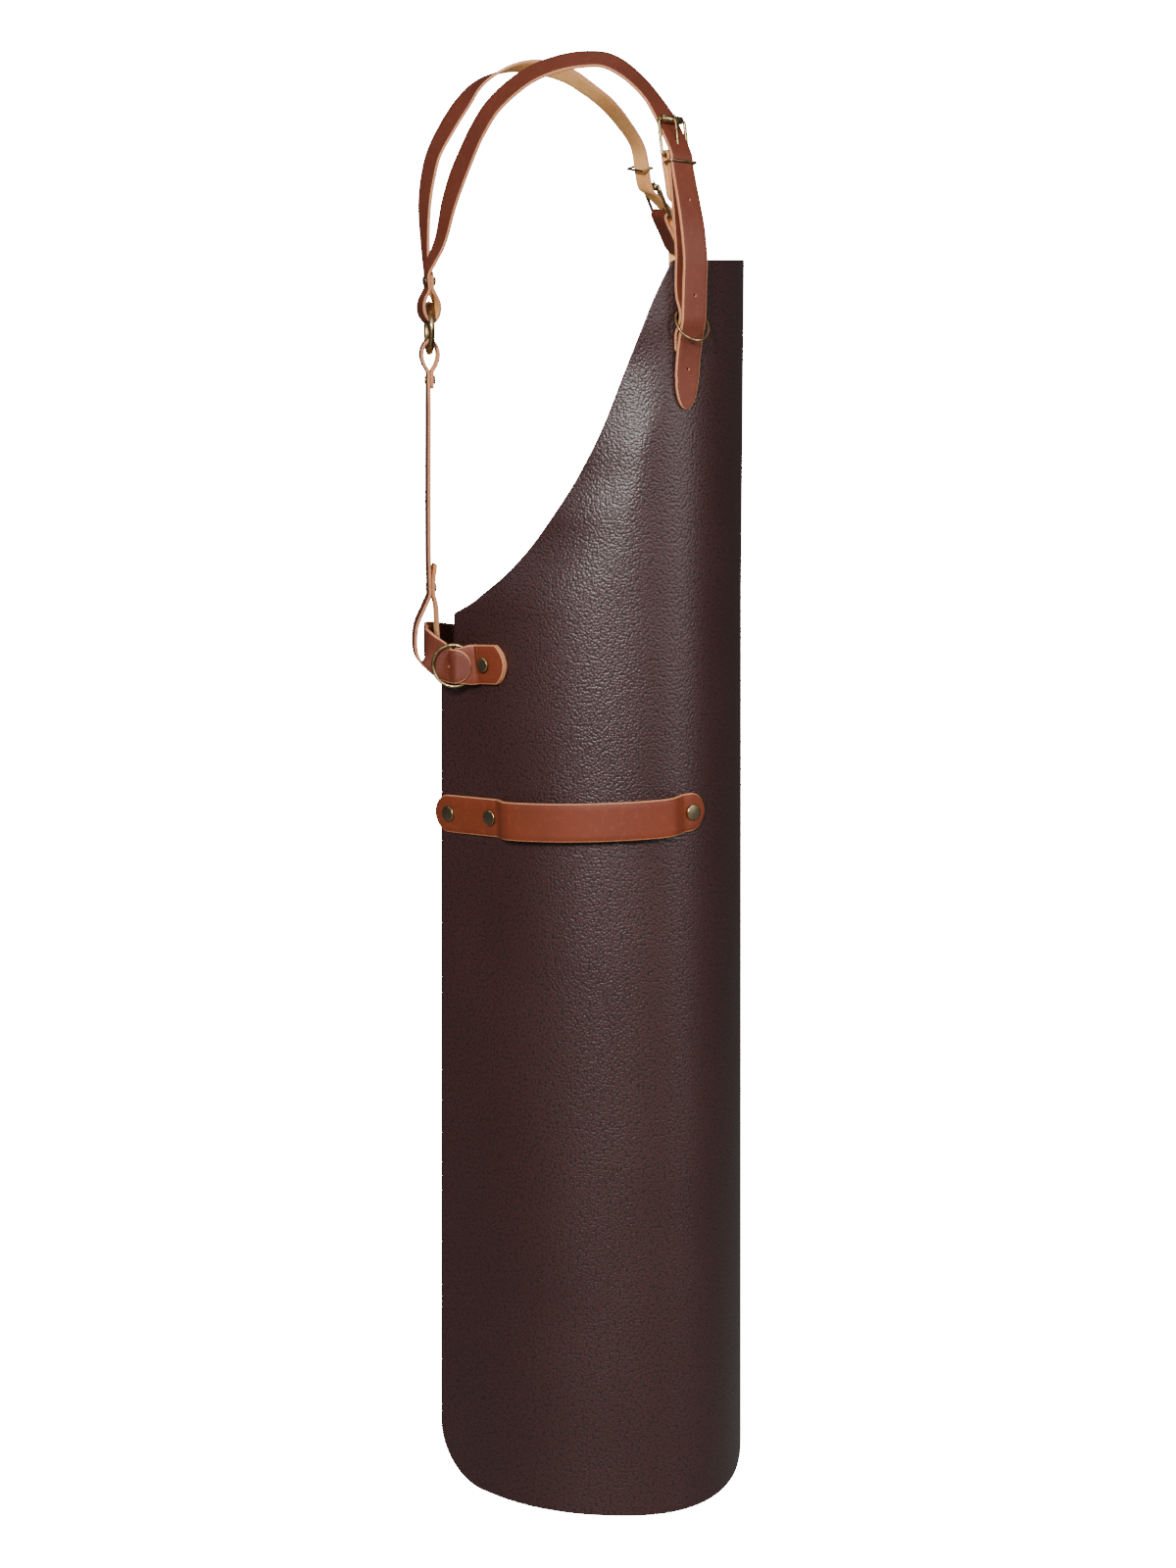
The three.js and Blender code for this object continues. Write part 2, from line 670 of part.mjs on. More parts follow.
const shoulderRise = 166;
const straps = [
  {
    name: "right",
    side: -1,
    rise: shoulderRise - 1.1,
    buckleUp: 84,
    buckleIn: 19.1,
    buckleBack: 9.8,
    bibReach: 140,
    bibLean: 0,
    keeperAt: -18.8,
    ringLift: 1,
    facing: point(-0.69, -0.68, 0.25),
    route: [
      { forward: 0.067, rise: 0.228, out: 0.23, face: [-0.62, 0.77, 0.12] },
      { forward: 0.108, rise: 0.39, out: 0.3, face: [-0.66, 0.73, 0.15] },
      { forward: 0.145, rise: 0.5, out: 0.36, face: [-0.68, 0.7, 0.2] },
      { forward: 0.189, rise: 0.605, out: 0.42, face: [-0.68, 0.66, 0.3] },
      { forward: 0.241, rise: 0.713, out: 0.49, face: [-0.66, 0.6, 0.42] },
      { forward: 0.312, rise: 0.82, out: 0.55, face: [-0.64, 0.46, 0.58] },
      { forward: 0.445, rise: 0.933, out: 0.62, face: [-0.62, 0.22, 0.74] },
      { forward: 0.556, rise: 0.981, out: 0.66, face: [-0.6, 0.07, 0.79] },
      { forward: 0.655, rise: 1, out: 0.69, face: [-0.6, -0.04, 0.8] },
      { forward: 0.757, rise: 0.994, out: 0.735, face: [-0.57, -0.2, 0.79] },
      { forward: 0.853, rise: 0.933, out: 0.815, face: [-0.48, -0.44, 0.76] },
      { forward: 0.944, rise: 0.831, out: 0.91, face: [-0.44, -0.62, 0.65] },
    ],
  },
  {
    name: "left",
    side: 1,
    rise: shoulderRise + 2.6,
    buckleUp: 45,
    buckleIn: 22,
    buckleBack: 17,
    bibReach: 151,
    bibLean: -7,
    ringLift: 1.22,
    facing: point(0.5, -0.76, 0.32),
    route: [
      { forward: -0.028, rise: 0.224, out: 0.236, face: [-0.5, 0.86, 0] },
      { forward: -0.033, rise: 0.388, out: 0.31, face: [-0.6, 0.8, 0] },
      { forward: -0.021, rise: 0.501, out: 0.36, face: [-0.62, 0.78, 0.12] },
      { forward: 0.004, rise: 0.609, out: 0.415, face: [-0.62, 0.73, 0.28] },
      { forward: 0.064, rise: 0.722, out: 0.46, face: [-0.66, 0.6, 0.44] },
      { forward: 0.14, rise: 0.835, out: 0.51, face: [-0.62, 0.5, 0.6] },
      { forward: 0.218, rise: 0.921, out: 0.54, face: [-0.36, 0.5, 0.78] },
      { forward: 0.34, rise: 0.982, out: 0.57, face: [0.02, 0.3, 0.95] },
      { forward: 0.448, rise: 1, out: 0.6, face: [0.36, 0, 0.93] },
      { forward: 0.542, rise: 0.992, out: 0.632, face: [0.52, -0.18, 0.83] },
      { forward: 0.641, rise: 0.963, out: 0.67, face: [0.55, -0.32, 0.76] },
      { forward: 0.733, rise: 0.91, out: 0.736, face: [0.5, -0.42, 0.74] },
      { forward: 0.827, rise: 0.843, out: 0.81, face: [0.5, -0.48, 0.7] },
      { forward: 0.911, rise: 0.753, out: 0.887, face: [0.44, -0.58, 0.68] },
      { forward: 0.977, rise: 0.654, out: 0.953, face: [0.4, -0.66, 0.62] },
    ],
  },
];

// Tail: how far it stands off the panel at each depth under the bib's top
const tail = [
  { down: -0.23, off: 6.1 },
  { down: -0.07, off: 9.2 },
  { down: 0.01, off: 10.1 },
  { down: 0.16, off: 9.4 },
  { down: 0.32, off: 8.8 },
  { down: 0.4, off: 8.4 },
  { down: 0.5, off: 5.4 },
  { down: 0.64, off: 2.3 },
  { down: 0.8, off: 0.6 },
  { down: 1, off: 0 },
];

// Bib strap on the panel: it lies flat at its rivets and lifts over the bib ring
const bibStrapLift = [
  { down: -0.06, off: 0.2 },
  { down: 0.02, off: 0.3 },
  { down: 0.12, off: 0 },
  { down: 0.3, off: 0 },
  { down: 0.42, off: 1.3 },
  { down: 0.5, off: 3.8 },
  { down: 0.57, off: 5.5 },
  { down: 0.66, off: 5 },
  { down: 0.75, off: 1.7 },
  { down: 0.81, off: 0 },
  { down: 0.9, off: 0 },
  { down: 1, off: 0 },
];

function buildStrap(layout) {
  const { name, side, rise, bibReach, bibLean, facing } = layout;
  const lineAt = (drop) => bibReach + bibLean * Math.min(1, Math.max(0, drop / lowerRivetDrop));
  const foot = onPanel(side, lineAt(0), 0, 0);
  const centre = point(
    foot.x - side * layout.buckleIn,
    foot.y + layout.buckleBack,
    foot.z + layout.buckleUp,
  );
  const up = centre.clone().sub(foot).normalize();
  const out = facing.clone().addScaledVector(up, -facing.dot(up)).normalize();
  const across = up.clone().cross(out).normalize();
  const toWorld = (x, y, z) => centre.clone()
    .addScaledVector(across, x).addScaledVector(up, y).addScaledVector(out, z);
  const heel = -buckleHalfHeight;
  const foldLift = buckleWire + clearance * 1.7 + strapThickness / 2;
  const frontLift = foldLift + strapThickness + clearance;
  // Bib strap: return ply behind the heel bar, fold, then down to the panel
  const bibStations = [];
  for (const { x, y, z } of [
    { x: 0, y: heel - foldPlyLength, z: -foldLift + 1.3 },
    { x: 0, y: heel - foldPlyLength * 0.5, z: -foldLift + 0.9 },
    { x: 0, y: heel - 4, z: -foldLift },
  ]) bibStations.push({ place: toWorld(x, y, z), face: out.clone().negate() });
  for (const angle of [-60, -20, 20, 60]) {
    const round = angle * degree;
    bibStations.push({
      place: toWorld(0, heel + foldLift * Math.cos(round), foldLift * Math.sin(round)),
      face: out.clone().multiplyScalar(Math.sin(round)).addScaledVector(up, Math.cos(round)),
    });
  }
  bibStations.push({ place: toWorld(0, heel - 4, foldLift), face: out.clone() });
  bibStations.push({ place: toWorld(0, heel - foldPlyLength * 0.6, foldLift), face: out.clone() });
  const strapFoot = lowerRivetDrop + 8;
  for (const { down, off } of bibStrapLift) {
    const drop = down * strapFoot;
    bibStations.push({
      place: onPanel(side, lineAt(drop), drop, hideStandOff + off * layout.ringLift),
      face: panelFrame(side, lineAt(drop), drop).outward,
    });
  }
  const bibRivets = [["upper", upperRivetDrop], ["lower", lowerRivetDrop]].map(([level, drop]) => ({
    level,
    seat: onPanel(side, lineAt(drop), drop, 0),
    axis: panelFrame(side, lineAt(drop), drop).outward,
  }));
  const strapHoles = bibRivets.map(({ seat, axis }) => hole(seat, axis, 9));
  panelHoles.push(...strapHoles);
  const slot = new THREE.BoxGeometry(3, 11, 16);
  const basis = new THREE.Matrix4().makeBasis(across, up, out);
  slot.applyMatrix4(basis.clone().setPosition(toWorld(0, heel + 1.2, 0)));
  const bibSolid = toSolid(strap(bibStations, strapWidth, strapThickness, strapTipRadius, 3))
    .subtract(toSolid(slot));
  add(`bib_strap_${name}`, bored(fromSolid(bibSolid), strapHoles), "strapLeather");

  // Buckle frame, roller, prong and keeper
  const frameHalf = buckleInnerWidth / 2 + buckleWire;
  const frameCorner = frameHalf - rollerLength / 2 - clearance;
  add(`buckle_frame_${name}`,
    wireLoop(frameHalf, heel, buckleHalfHeight, frameCorner, buckleWire, toWorld), "antiqueBrass");
  const tube = (low, high) => {
    const half = rollerLength / 2;
    const profile = [[low, -half], [high, -half], [high, half], [low, half], [low, -half]];
    return new THREE.LatheGeometry(profile.map(([r, h]) => new THREE.Vector2(r, h)), 12);
  };
  const roller = tube(rollerRadius - rollerWall, rollerRadius);
  roller.applyQuaternion(turnFromUp(across));
  const rollerAt = toWorld(0, buckleHalfHeight, 0);
  roller.translate(rollerAt.x, rollerAt.y, rollerAt.z);
  add(`buckle_roller_${name}`, roller, "antiqueBrass");

  const eye = new THREE.TorusGeometry(buckleWire + clearance + prongWire, prongWire, 6, 12);
  eye.rotateY(90 * degree);
  eye.applyMatrix4(basis.clone().setPosition(toWorld(0, heel, 0)));
  const eyeTop = buckleWire + clearance + prongWire;
  const prongTip = rollerRadius + clearance + prongWire;
  const prongPath = [
    { y: heel + 0.2, z: eyeTop },
    { y: heel + 5, z: eyeTop + 1.2 },
    { y: buckleHalfHeight - 3, z: prongTip },
    { y: buckleHalfHeight + 3, z: prongTip },
  ];
  const prongRings = prongPath.map(({ y, z }, i) => {
    const ringPoints = [];
    const radius = prongWire * (i === 3 ? 0.8 : 1);
    for (let s = 0; s < 6; s += 1) {
      const angle = (s / 6) * 360 * degree;
      ringPoints.push(toWorld(radius * Math.cos(angle), y, z + radius * Math.sin(angle)));
    }
    return ringPoints;
  });
  const prong = toSolid(eye).add(toSolid(rod(prongRings, false)));
  add(`buckle_prong_${name}`, fromSolid(prong), "antiqueBrass");

  // Shoulder strap: loop at the back ring, over the shoulder, through the buckle, tail
  const spread = loopSpread * degree;
  const lean = loopLean * degree;
  const wireAt = backRingCentre.clone()
    .addScaledVector(acrossRing, side * backRingRadius * Math.sin(spread))
    .add(point(0, 0, backRingRadius * Math.cos(spread)));
  const direction = point(side * Math.sin(lean), 0, Math.cos(lean));
  const rear = point(-Math.sin(loopTwist * degree), Math.cos(loopTwist * degree), 0);
  const stations = loopStations(wireAt, direction, rear, loopStrapWidth, loopDepth);
  const entry = toWorld(0, buckleHalfHeight + 9, -foldLift - 1.3);
  const start = point(side * backRingRadius * 0.8, backRingReach + 0.8, backRingCentre.z + 25.8);
  layout.route.forEach((row, i) => {
    stations.push({
      place: point(entry.x * row.out, mix(start.y, entry.y, row.forward), start.z + row.rise * rise),
      face: point(...row.face).normalize(),
      width: i < 2 ? mix(loopStrapWidth, strapWidth, (i + 1) / 2.5) : strapWidth,
    });
  });
  const lastOnShoulder = stations.length - 1;
  const through = [
    { y: buckleHalfHeight, z: -rollerRadius - clearance - strapThickness / 2 - 0.6 },
    { y: buckleHalfHeight - 7, z: -1.8 },
    { y: heel + 7, z: 3.6 },
    { y: heel, z: frontLift + 0.4 },
    { y: heel - 8, z: frontLift + 0.5 },
  ];
  for (const { y, z } of through) stations.push({ place: toWorld(0, y, z), face: out.clone() });
  for (const { down, off } of tail) {
    const drop = down * tailTipDrop;
    stations.push({
      place: onPanel(side, lineAt(drop), drop, hideStandOff + off * layout.ringLift),
      face: panelFrame(side, lineAt(drop), drop).outward,
    });
  }
  const shoulder = strap(stations, strapWidth, strapThickness, 3, strapTipRadius);
  const loopRivet = wireAt.clone().addScaledVector(direction, loopPinch);
  const prongSlot = new THREE.BoxGeometry(3.2, 14, 12);
  prongSlot.applyMatrix4(basis.clone().setPosition(toWorld(0, heel + 6.5, 4)));
  const cut = toSolid(shoulder).subtract(toSolid(prongSlot));
  add(`shoulder_strap_${name}`, bored(fromSolid(cut), [hole(loopRivet, rear, 14)]), "strapLeather");
  const ply = plyGap / 2 + strapThickness / 2 + clearance * 2;
  add(`shoulder_rivet_${name}`, rivet(strapRivetRadius, 0.7, ply, -ply, loopRivet, rear), "antiqueBrass");

  // Keeper: round the bib strap and tail at the right, slid up the bare strap at the left
  const keeperHalf = strapWidth / 2 + clearance * 3 + keeperWire;
  if (layout.keeperAt) {
    const onPlies = (x, y, z) => toWorld(x, layout.keeperAt + z, y);
    add(`keeper_${name}`, wireLoop(keeperHalf, clearance * 1.5, frontLift + keeperSlack, 2,
      keeperWire, onPlies), "antiqueBrass");
  } else {
    const { face } = stations[lastOnShoulder];
    const place = stations[lastOnShoulder].place.clone().lerp(stations[lastOnShoulder + 1].place, 0.5);
    const run = stations[lastOnShoulder + 1].place.clone().sub(stations[lastOnShoulder].place);
    const wide = run.clone().cross(face).normalize();
    const thick = wide.clone().cross(run).normalize();
    run.normalize();
    const onStrap = (x, y, z) => place.clone()
      .addScaledVector(wide, x).addScaledVector(thick, y).addScaledVector(run, z);
    const seat = strapThickness / 2 + clearance * 3 + keeperWire;
    add(`keeper_${name}`, wireLoop(keeperHalf, -seat - keeperSlack, seat, 2, keeperWire, onStrap),
      "antiqueBrass");
  }

  // Bib ring, tilted: its upper arc lies behind the bib strap, its lower arc in front of the tail
  const tilt = bibRingTilt * degree;
  const ringFace = panelFrame(side, lineAt(bibRingDrop), bibRingDrop).outward.clone()
    .multiplyScalar(Math.cos(tilt)).add(point(0, 0, Math.sin(tilt)));
  const ringAt = onPanel(side, lineAt(bibRingDrop), bibRingDrop, 8.3);
  add(`bib_ring_${name}`, ring(bibRingRadius, bibRingWire, ringAt, ringFace, 20, 6), "antiqueBrass");

  bibRivets.forEach(({ level, seat, axis }) => {
    const seatHigh = clearance * 2 + strapThickness;
    add(`bib_rivet_${level}_${name}`,
      rivet(strapRivetRadius, 0.9, seatHigh, -panelThickness - bendAllowance, seat, axis),
      "antiqueBrass");
  });
}

for (const layout of straps) buildStrap(layout);

// Back strap: a loop under the ring, the run down the back and a loop round the belt

function backStrapStations() {
  const wireAt = backRingCentre.clone().add(point(0, 0, -backRingRadius));
  const upper = loopStations(wireAt, point(0, 0, -1), point(0, 1, 0), backLoopWidth,
    backLoopDepth);
  const beltEdge = levelOf(beltBackDrop) - beltWidth / 2;
  const beltTop = beltEdge + beltWidth;
  const inner = beltBackReach - beltThickness / 2 - strapThickness / 2 - clearance;
  const outer = beltBackReach + beltThickness / 2 + strapThickness / 2 + clearance;
  const low = -bibTopBelowShoulders - backRingDrop - backRingRadius;
  const runTop = low - 40;
  const pinch = beltTop + 26;
  const seam = backRingReach + plyGap * 0.5;
  const lower = [
    { y: seam, z: runTop, face: [0, 1, 0] },
    { y: seam + 0.8, z: mix(runTop, pinch, 0.5), face: [0, 1, 0] },
    { y: seam + 1, z: pinch + 25, face: [0, 1, 0] },
    { y: seam + 0.6, z: pinch, face: [0, 1, 0] },
    { y: seam + 0.7, z: pinch - 5, face: [0, 1, 0] },
    { y: seam + 4.5, z: pinch - 14, face: [0, 0.94, 0.3] },
    { y: outer + 6, z: beltTop - 4, face: [0, 1, 0.1] },
    { y: outer + 5.4, z: beltEdge - 1, face: [0, 1, -0.2] },
    { y: mix(inner, outer, 0.6), z: beltEdge - 9, face: [0, 0.1, -1] },
    { y: inner - 4.6, z: beltEdge - 1, face: [0, -1, -0.4] },
    { y: inner - 4.6, z: beltTop - 6, face: [0, -1, 0.1] },
    { y: seam - plyGap - 1.4, z: pinch - 13, face: [0, -0.95, 0.3] },
    { y: seam - plyGap + 0.5, z: pinch - 5, face: [0, -1, 0] },
    { y: seam - plyGap + 0.6, z: pinch, face: [0, -1, 0] },
    { y: seam - plyGap + 0.5, z: pinch + 6, face: [0, -1, 0] },
    { y: seam - plyGap - 1.2, z: pinch + 18, face: [0, -1, 0] },
  ];
  const stations = upper.slice(0, -1);
  for (const { y, z, face } of lower) stations.push({ place: point(0, y, z), face: point(...face) });
  const pinches = [
    point(0, backRingReach, wireAt.z - loopPinch),
    point(0, seam + 0.6 - plyGap / 2, pinch),
  ];
  // The whole strap hangs square to the back ring, so it's turned with it
  const upright = point(0, 0, 1);
  const twist = backRingTwist * degree;
  for (const place of [...stations.map((s) => s.place), ...pinches]) {
    place.sub(backRingCentre).applyAxisAngle(upright, twist).add(backRingCentre);
  }
  for (const { face } of stations) face.applyAxisAngle(upright, twist);
  return { stations, pinches };
}

const backStrap = backStrapStations();
const rearward = point(0, 1, 0).applyAxisAngle(point(0, 0, 1), backRingTwist * degree);
add("back_strap", bored(
  strap(backStrap.stations, backStrapWidth, strapThickness, 3, 3),
  backStrap.pinches.map((place) => hole(place, rearward, 10)),
), "strapLeather");
const plies = plyGap / 2 + strapThickness / 2 + clearance;
add("back_strap_rivet_upper",
  rivet(strapRivetRadius, 0.7, plies, -plies, backStrap.pinches[0], rearward), "antiqueBrass");
add("back_strap_rivet_lower",
  rivet(strapRivetRadius, 0.7, plies, -plies, backStrap.pinches[1], rearward), "antiqueBrass");

// Towel band: riveted flat at both ends, standing off between as a loop for a towel

const bandDropAt = (reach) => bandFrontDrop + (reach - bandFrontReach) * bandSlope;

function bandStations() {
  const low = clearance * 2 + bandThickness / 2;
  const high = bandStandOff;
  const rearStep = bandMiddleRivet - rivetCapRadius - 1;
  const frontStep = bandFrontRivet + rivetCapRadius + 1;
  const rows = [
    { reach: bandBackReach, off: low },
    { reach: bandBackRivet, off: low },
    { reach: mix(bandBackRivet, bandMiddleRivet, 0.5), off: low },
    { reach: bandMiddleRivet, off: low },
    { reach: rearStep, off: low },
    { reach: rearStep - bandStep * 0.35, off: mix(low, high, 0.35) },
    { reach: rearStep - bandStep * 0.7, off: mix(low, high, 0.8) },
    { reach: rearStep - bandStep * 1.1, off: high },
  ];
  const plainSteps = 7;
  for (let i = 1; i < plainSteps; i += 1) {
    const reach = mix(rearStep - bandStep * 1.1, frontStep + bandStep * 1.1, i / plainSteps);
    rows.push({ reach, off: high });
  }
  rows.push(
    { reach: frontStep + bandStep * 1.1, off: high },
    { reach: frontStep + bandStep * 0.7, off: mix(low, high, 0.8) },
    { reach: frontStep + bandStep * 0.35, off: mix(low, high, 0.35) },
    { reach: frontStep, off: low },
    { reach: bandFrontRivet, off: low },
    { reach: bandFrontReach, off: low },
  );
  return rows.map(({ reach, off }) => ({
    place: onPanel(-1, reach, bandDropAt(reach), off),
    face: panelFrame(-1, reach, bandDropAt(reach)).outward,
  }));
}

const bandRivets = [
  ["back", bandBackRivet],
  ["middle", bandMiddleRivet],
  ["front", bandFrontRivet],
].map(([name, reach]) => ({
  name,
  seat: onPanel(-1, reach, bandDropAt(reach), 0),
  axis: panelFrame(-1, reach, bandDropAt(reach)).outward,
}));
const bandHoles = bandRivets.map(({ seat, axis }) => hole(seat, axis, 12));
add("towel_band", bored(
  strap(bandStations(), bandWidth, bandThickness, 9, 6), bandHoles), "bandLeather");
for (const { name, seat, axis } of bandRivets) {
  add(`band_rivet_${name}`, rivet(rivetCapRadius, rivetCapHeight, clearance * 2 + bandThickness,
    -panelThickness - bendAllowance, seat, axis), "antiqueBrass");
}

add("panel", panelGeometry([...panelHoles, ...bandHoles]), "panelLeather");

export default apron;
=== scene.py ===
# Leather bib apron, held in the curve that it takes when it is worn.
# Lengths are millimetres in the row frame, turned to metres where a mesh is made.

from math import ceil, cos, hypot, pi, radians, sin, sqrt

import bpy
from mathutils import Matrix, Vector


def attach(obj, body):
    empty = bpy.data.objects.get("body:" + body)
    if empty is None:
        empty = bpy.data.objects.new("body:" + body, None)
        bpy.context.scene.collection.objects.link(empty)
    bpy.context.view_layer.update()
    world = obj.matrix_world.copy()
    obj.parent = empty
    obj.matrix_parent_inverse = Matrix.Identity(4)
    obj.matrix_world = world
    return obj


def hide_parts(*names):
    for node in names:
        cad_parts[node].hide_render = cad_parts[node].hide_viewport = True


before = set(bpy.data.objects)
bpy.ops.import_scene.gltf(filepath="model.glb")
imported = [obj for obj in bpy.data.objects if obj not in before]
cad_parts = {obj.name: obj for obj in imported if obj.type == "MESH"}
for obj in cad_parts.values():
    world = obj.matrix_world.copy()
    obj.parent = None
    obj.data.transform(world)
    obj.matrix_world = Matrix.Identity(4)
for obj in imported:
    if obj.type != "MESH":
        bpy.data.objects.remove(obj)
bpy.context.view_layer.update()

mm = 0.001

# Camera, floor and light
# The camera stands level with the chest on the wearer's right, 2.24 m away, and looks down a little.
# The floor lies a shin's height under the hem. Large soft lamps and a pale sky leave no hard shadow.

film_height = 36
focal_length = 68.175
camera_place = (-2.236, -0.1346, -0.137)
line_of_sight = Vector((0.9829, 0.0601, -0.174))

camera_data = bpy.data.cameras.new("camera")
camera_data.sensor_fit = "VERTICAL"
camera_data.sensor_height = film_height
camera_data.lens = focal_length
camera = bpy.data.objects.new("camera", camera_data)
camera.location = camera_place
camera.rotation_euler = line_of_sight.to_track_quat("-Z", "Y").to_euler()
bpy.context.collection.objects.link(camera)
bpy.context.scene.camera = camera


def add_lamp(name, place, aim, width, height, watts):
    data = bpy.data.lights.new(name, "AREA")
    data.shape = "RECTANGLE"
    data.size = width
    data.size_y = height
    data.energy = watts
    lamp = bpy.data.objects.new(name, data)
    lamp.location = place
    lamp.rotation_euler = (Vector(aim) - Vector(place)).to_track_quat("-Z", "Y").to_euler()
    bpy.context.collection.objects.link(lamp)


add_lamp("key_softbox", (-2.6, 0.4, 0.6), (0, 0, -0.2), 0.35, 0.5, 122)
add_lamp("flank_softbox", (-2.1, -1.5, 0.5), (0, 0, -0.2), 0.4, 0.4, 17)
add_lamp("front_softbox", (-1.3, -2.5, 0.3), (0, 0, -0.45), 0.9, 1.8, 44)
add_lamp("rear_softbox", (-0.9, 2.4, 0.9), (0, 0, -0.2), 0.9, 1.2, 10)
add_lamp("top_softbox", (-0.2, 0, 2.2), (0, 0, 0), 1.6, 1.6, 13)


def linear_colour(code):
    """An sRGB hex colour as linear values."""
    channels = [int(code[i:i + 2], 16) / 255 for i in (1, 3, 5)]
    return [c / 12.92 if c <= 0.04045 else ((c + 0.055) / 1.055) ** 2.4 for c in channels] + [1]


def add_node(tree, kind, inputs=None, **settings):
    """A node with its settings; an input is a value or another node's output."""
    node = tree.nodes.new(kind)
    for name, value in settings.items():
        setattr(node, name, value)
    for name, value in (inputs or {}).items():
        if isinstance(value, bpy.types.NodeSocket):
            tree.links.new(value, node.inputs[name])
        else:
            node.inputs[name].default_value = value
    return node


def new_material(name):
    """An empty material, its node tree and its surface shader."""
    material = bpy.data.materials.new(name)
    material.use_nodes = True
    tree = material.node_tree
    tree.nodes.clear()
    shader = add_node(tree, "ShaderNodeBsdfPrincipled")
    add_node(tree, "ShaderNodeOutputMaterial", {"Surface": shader.outputs["BSDF"]})
    return material, tree, shader


def new_mesh(name, places, faces, kinds=None):
    """A mesh, with a material number for each face if kinds are given."""
    mesh = bpy.data.meshes.new(name)
    mesh.from_pydata(places, [], faces)
    if kinds:
        mesh.polygons.foreach_set("material_index", kinds)
    return mesh


# Pale sky: to the lens alone it is as bright as the photo's white backdrop, and the light that
# falls from it on the apron is dim
world = bpy.data.worlds.new("pale_sky")
world.use_nodes = True
tree = world.node_tree
tree.nodes.clear()
seen = add_node(tree, "ShaderNodeLightPath").outputs["Is Camera Ray"]
strength = add_node(tree, "ShaderNodeMapRange", {"Value": seen, "To Min": 0.1, "To Max": 24.0})
sky = add_node(tree, "ShaderNodeBackground", {"Color": (1, 1, 1, 1), "Strength": strength.outputs[0]})
add_node(tree, "ShaderNodeOutputWorld", {"Surface": sky.outputs[0]})
bpy.context.scene.world = world

# Seamless paper: a matt mid grey with a faint mottle, so that it throws little light back up.
# To the lens alone it glows white, like the photo's backdrop.
paper, tree, shader = new_material("seamless_paper")
mottle = add_node(tree, "ShaderNodeTexNoise", {"Scale": 3.0, "Detail": 4.0})
tone = add_node(tree, "ShaderNodeMix", {
    0: mottle.outputs["Fac"], 6: linear_colour("#807f7d"), 7: linear_colour("#868583"),
}, data_type="RGBA")
tree.links.new(tone.outputs[2], shader.inputs["Base Color"])
shader.inputs["Roughness"].default_value = 0.9
tree.links.new(tone.outputs[2], shader.inputs["Emission Color"])
lit = add_node(tree, "ShaderNodeLightPath").outputs["Is Camera Ray"]
glow = add_node(tree, "ShaderNodeMapRange", {"Value": lit, "To Min": 0.2, "To Max": 110.0})
tree.links.new(glow.outputs[0], shader.inputs["Emission Strength"])

floor_level = -1.4
floor_half = 90
corners = ((-1, -1), (1, -1), (1, 1), (-1, 1))
floor_mesh = new_mesh("floor", [(x * floor_half, y * floor_half, floor_level) for x, y in corners],
                      [(0, 1, 2, 3)])
floor_mesh.materials.append(paper)
floor = bpy.data.objects.new("floor", floor_mesh)
bpy.context.collection.objects.link(floor)


# Panel
# One piece of 1.6 mm cowhide, bib and skirt in one, cut with a knife and left unhemmed.
# It is dyed dark brown, pressed with a fine pebbled grain, and oiled; its back is bare flesh side.

panel_thickness = 1.6
panel_height = 924.7
bib_top = -137.3
bib_half_width = 151.6
waist_half_width = 318
skirt_half_width = 331.5
armhole_depth = 255
waist_edge_height = 22
waist_step_height = 26
bib_corner_radius = 4
hem_corner_radius = 45
bib_turn = 2
waist_turn = -10
turn_start = 104
half_breadth = 141
widest_line = 21
front_reach = 92.7
front_squareness = 2.6
rear_radius = 128
rear_turn = radians(40)
flare_start = 243.7
hem_flare = 0.052
clearance = 0.3


def mix(a, b, t):
    return a + (b - a) * t


def plan_curve():
    """The worn panel from above: a squared front, a round rear, then a straight free run."""
    points = []
    for i in range(361):
        angle = i / 360 * pi / 2
        across = half_breadth * sin(angle) ** (2 / front_squareness)
        ahead = front_reach * max(0, cos(angle)) ** (2 / front_squareness)
        points.append((across, -widest_line - ahead))
    for i in range(1, 81):
        angle = i / 80 * rear_turn
        points.append((half_breadth - rear_radius * (1 - cos(angle)),
                       -widest_line + rear_radius * sin(angle)))
    x, y = points[-1]
    run = 2 * skirt_half_width
    points.append((x - run * sin(rear_turn), y + run * cos(rear_turn)))
    reaches = [0]
    for (x0, y0), (x1, y1) in zip(points, points[1:]):
        reaches.append(reaches[-1] + hypot(x1 - x0, y1 - y0))
    return points, reaches


plan_points, plan_reaches = plan_curve()


def turn_at(drop):
    """How far the worn panel is turned round the body: one way at the bib, the other at the waist."""
    share = min(1, max(0, (drop - turn_start) / (armhole_depth - turn_start)))
    return mix(bib_turn, waist_turn, share * share * (3 - 2 * share))


def panel_frame(side, reach, drop):
    """Place on the plan curve, the way rearwards along it, and the way out of the panel.

    side is -1 on the wearer's right and 1 on the left.
    """
    distance = side * reach + turn_at(drop)
    sign = -1 if distance < 0 else 1
    low, high = 0, len(plan_reaches) - 1
    while high - low > 1:
        middle = (low + high) // 2
        if plan_reaches[middle] < abs(distance):
            low = middle
        else:
            high = middle
    (x0, y0), (x1, y1) = plan_points[low], plan_points[high]
    length = plan_reaches[high] - plan_reaches[low]
    t = (abs(distance) - plan_reaches[low]) / length
    along = Vector((sign * (x1 - x0) / length, (y1 - y0) / length, 0))
    outward = Vector((sign * along.y, -sign * along.x, 0))
    return Vector((sign * mix(x0, x1, t), mix(y0, y1, t), 0)), along, outward


def flare_at(drop):
    return 1 + hem_flare * max(0, drop - flare_start) / (panel_height - flare_start)


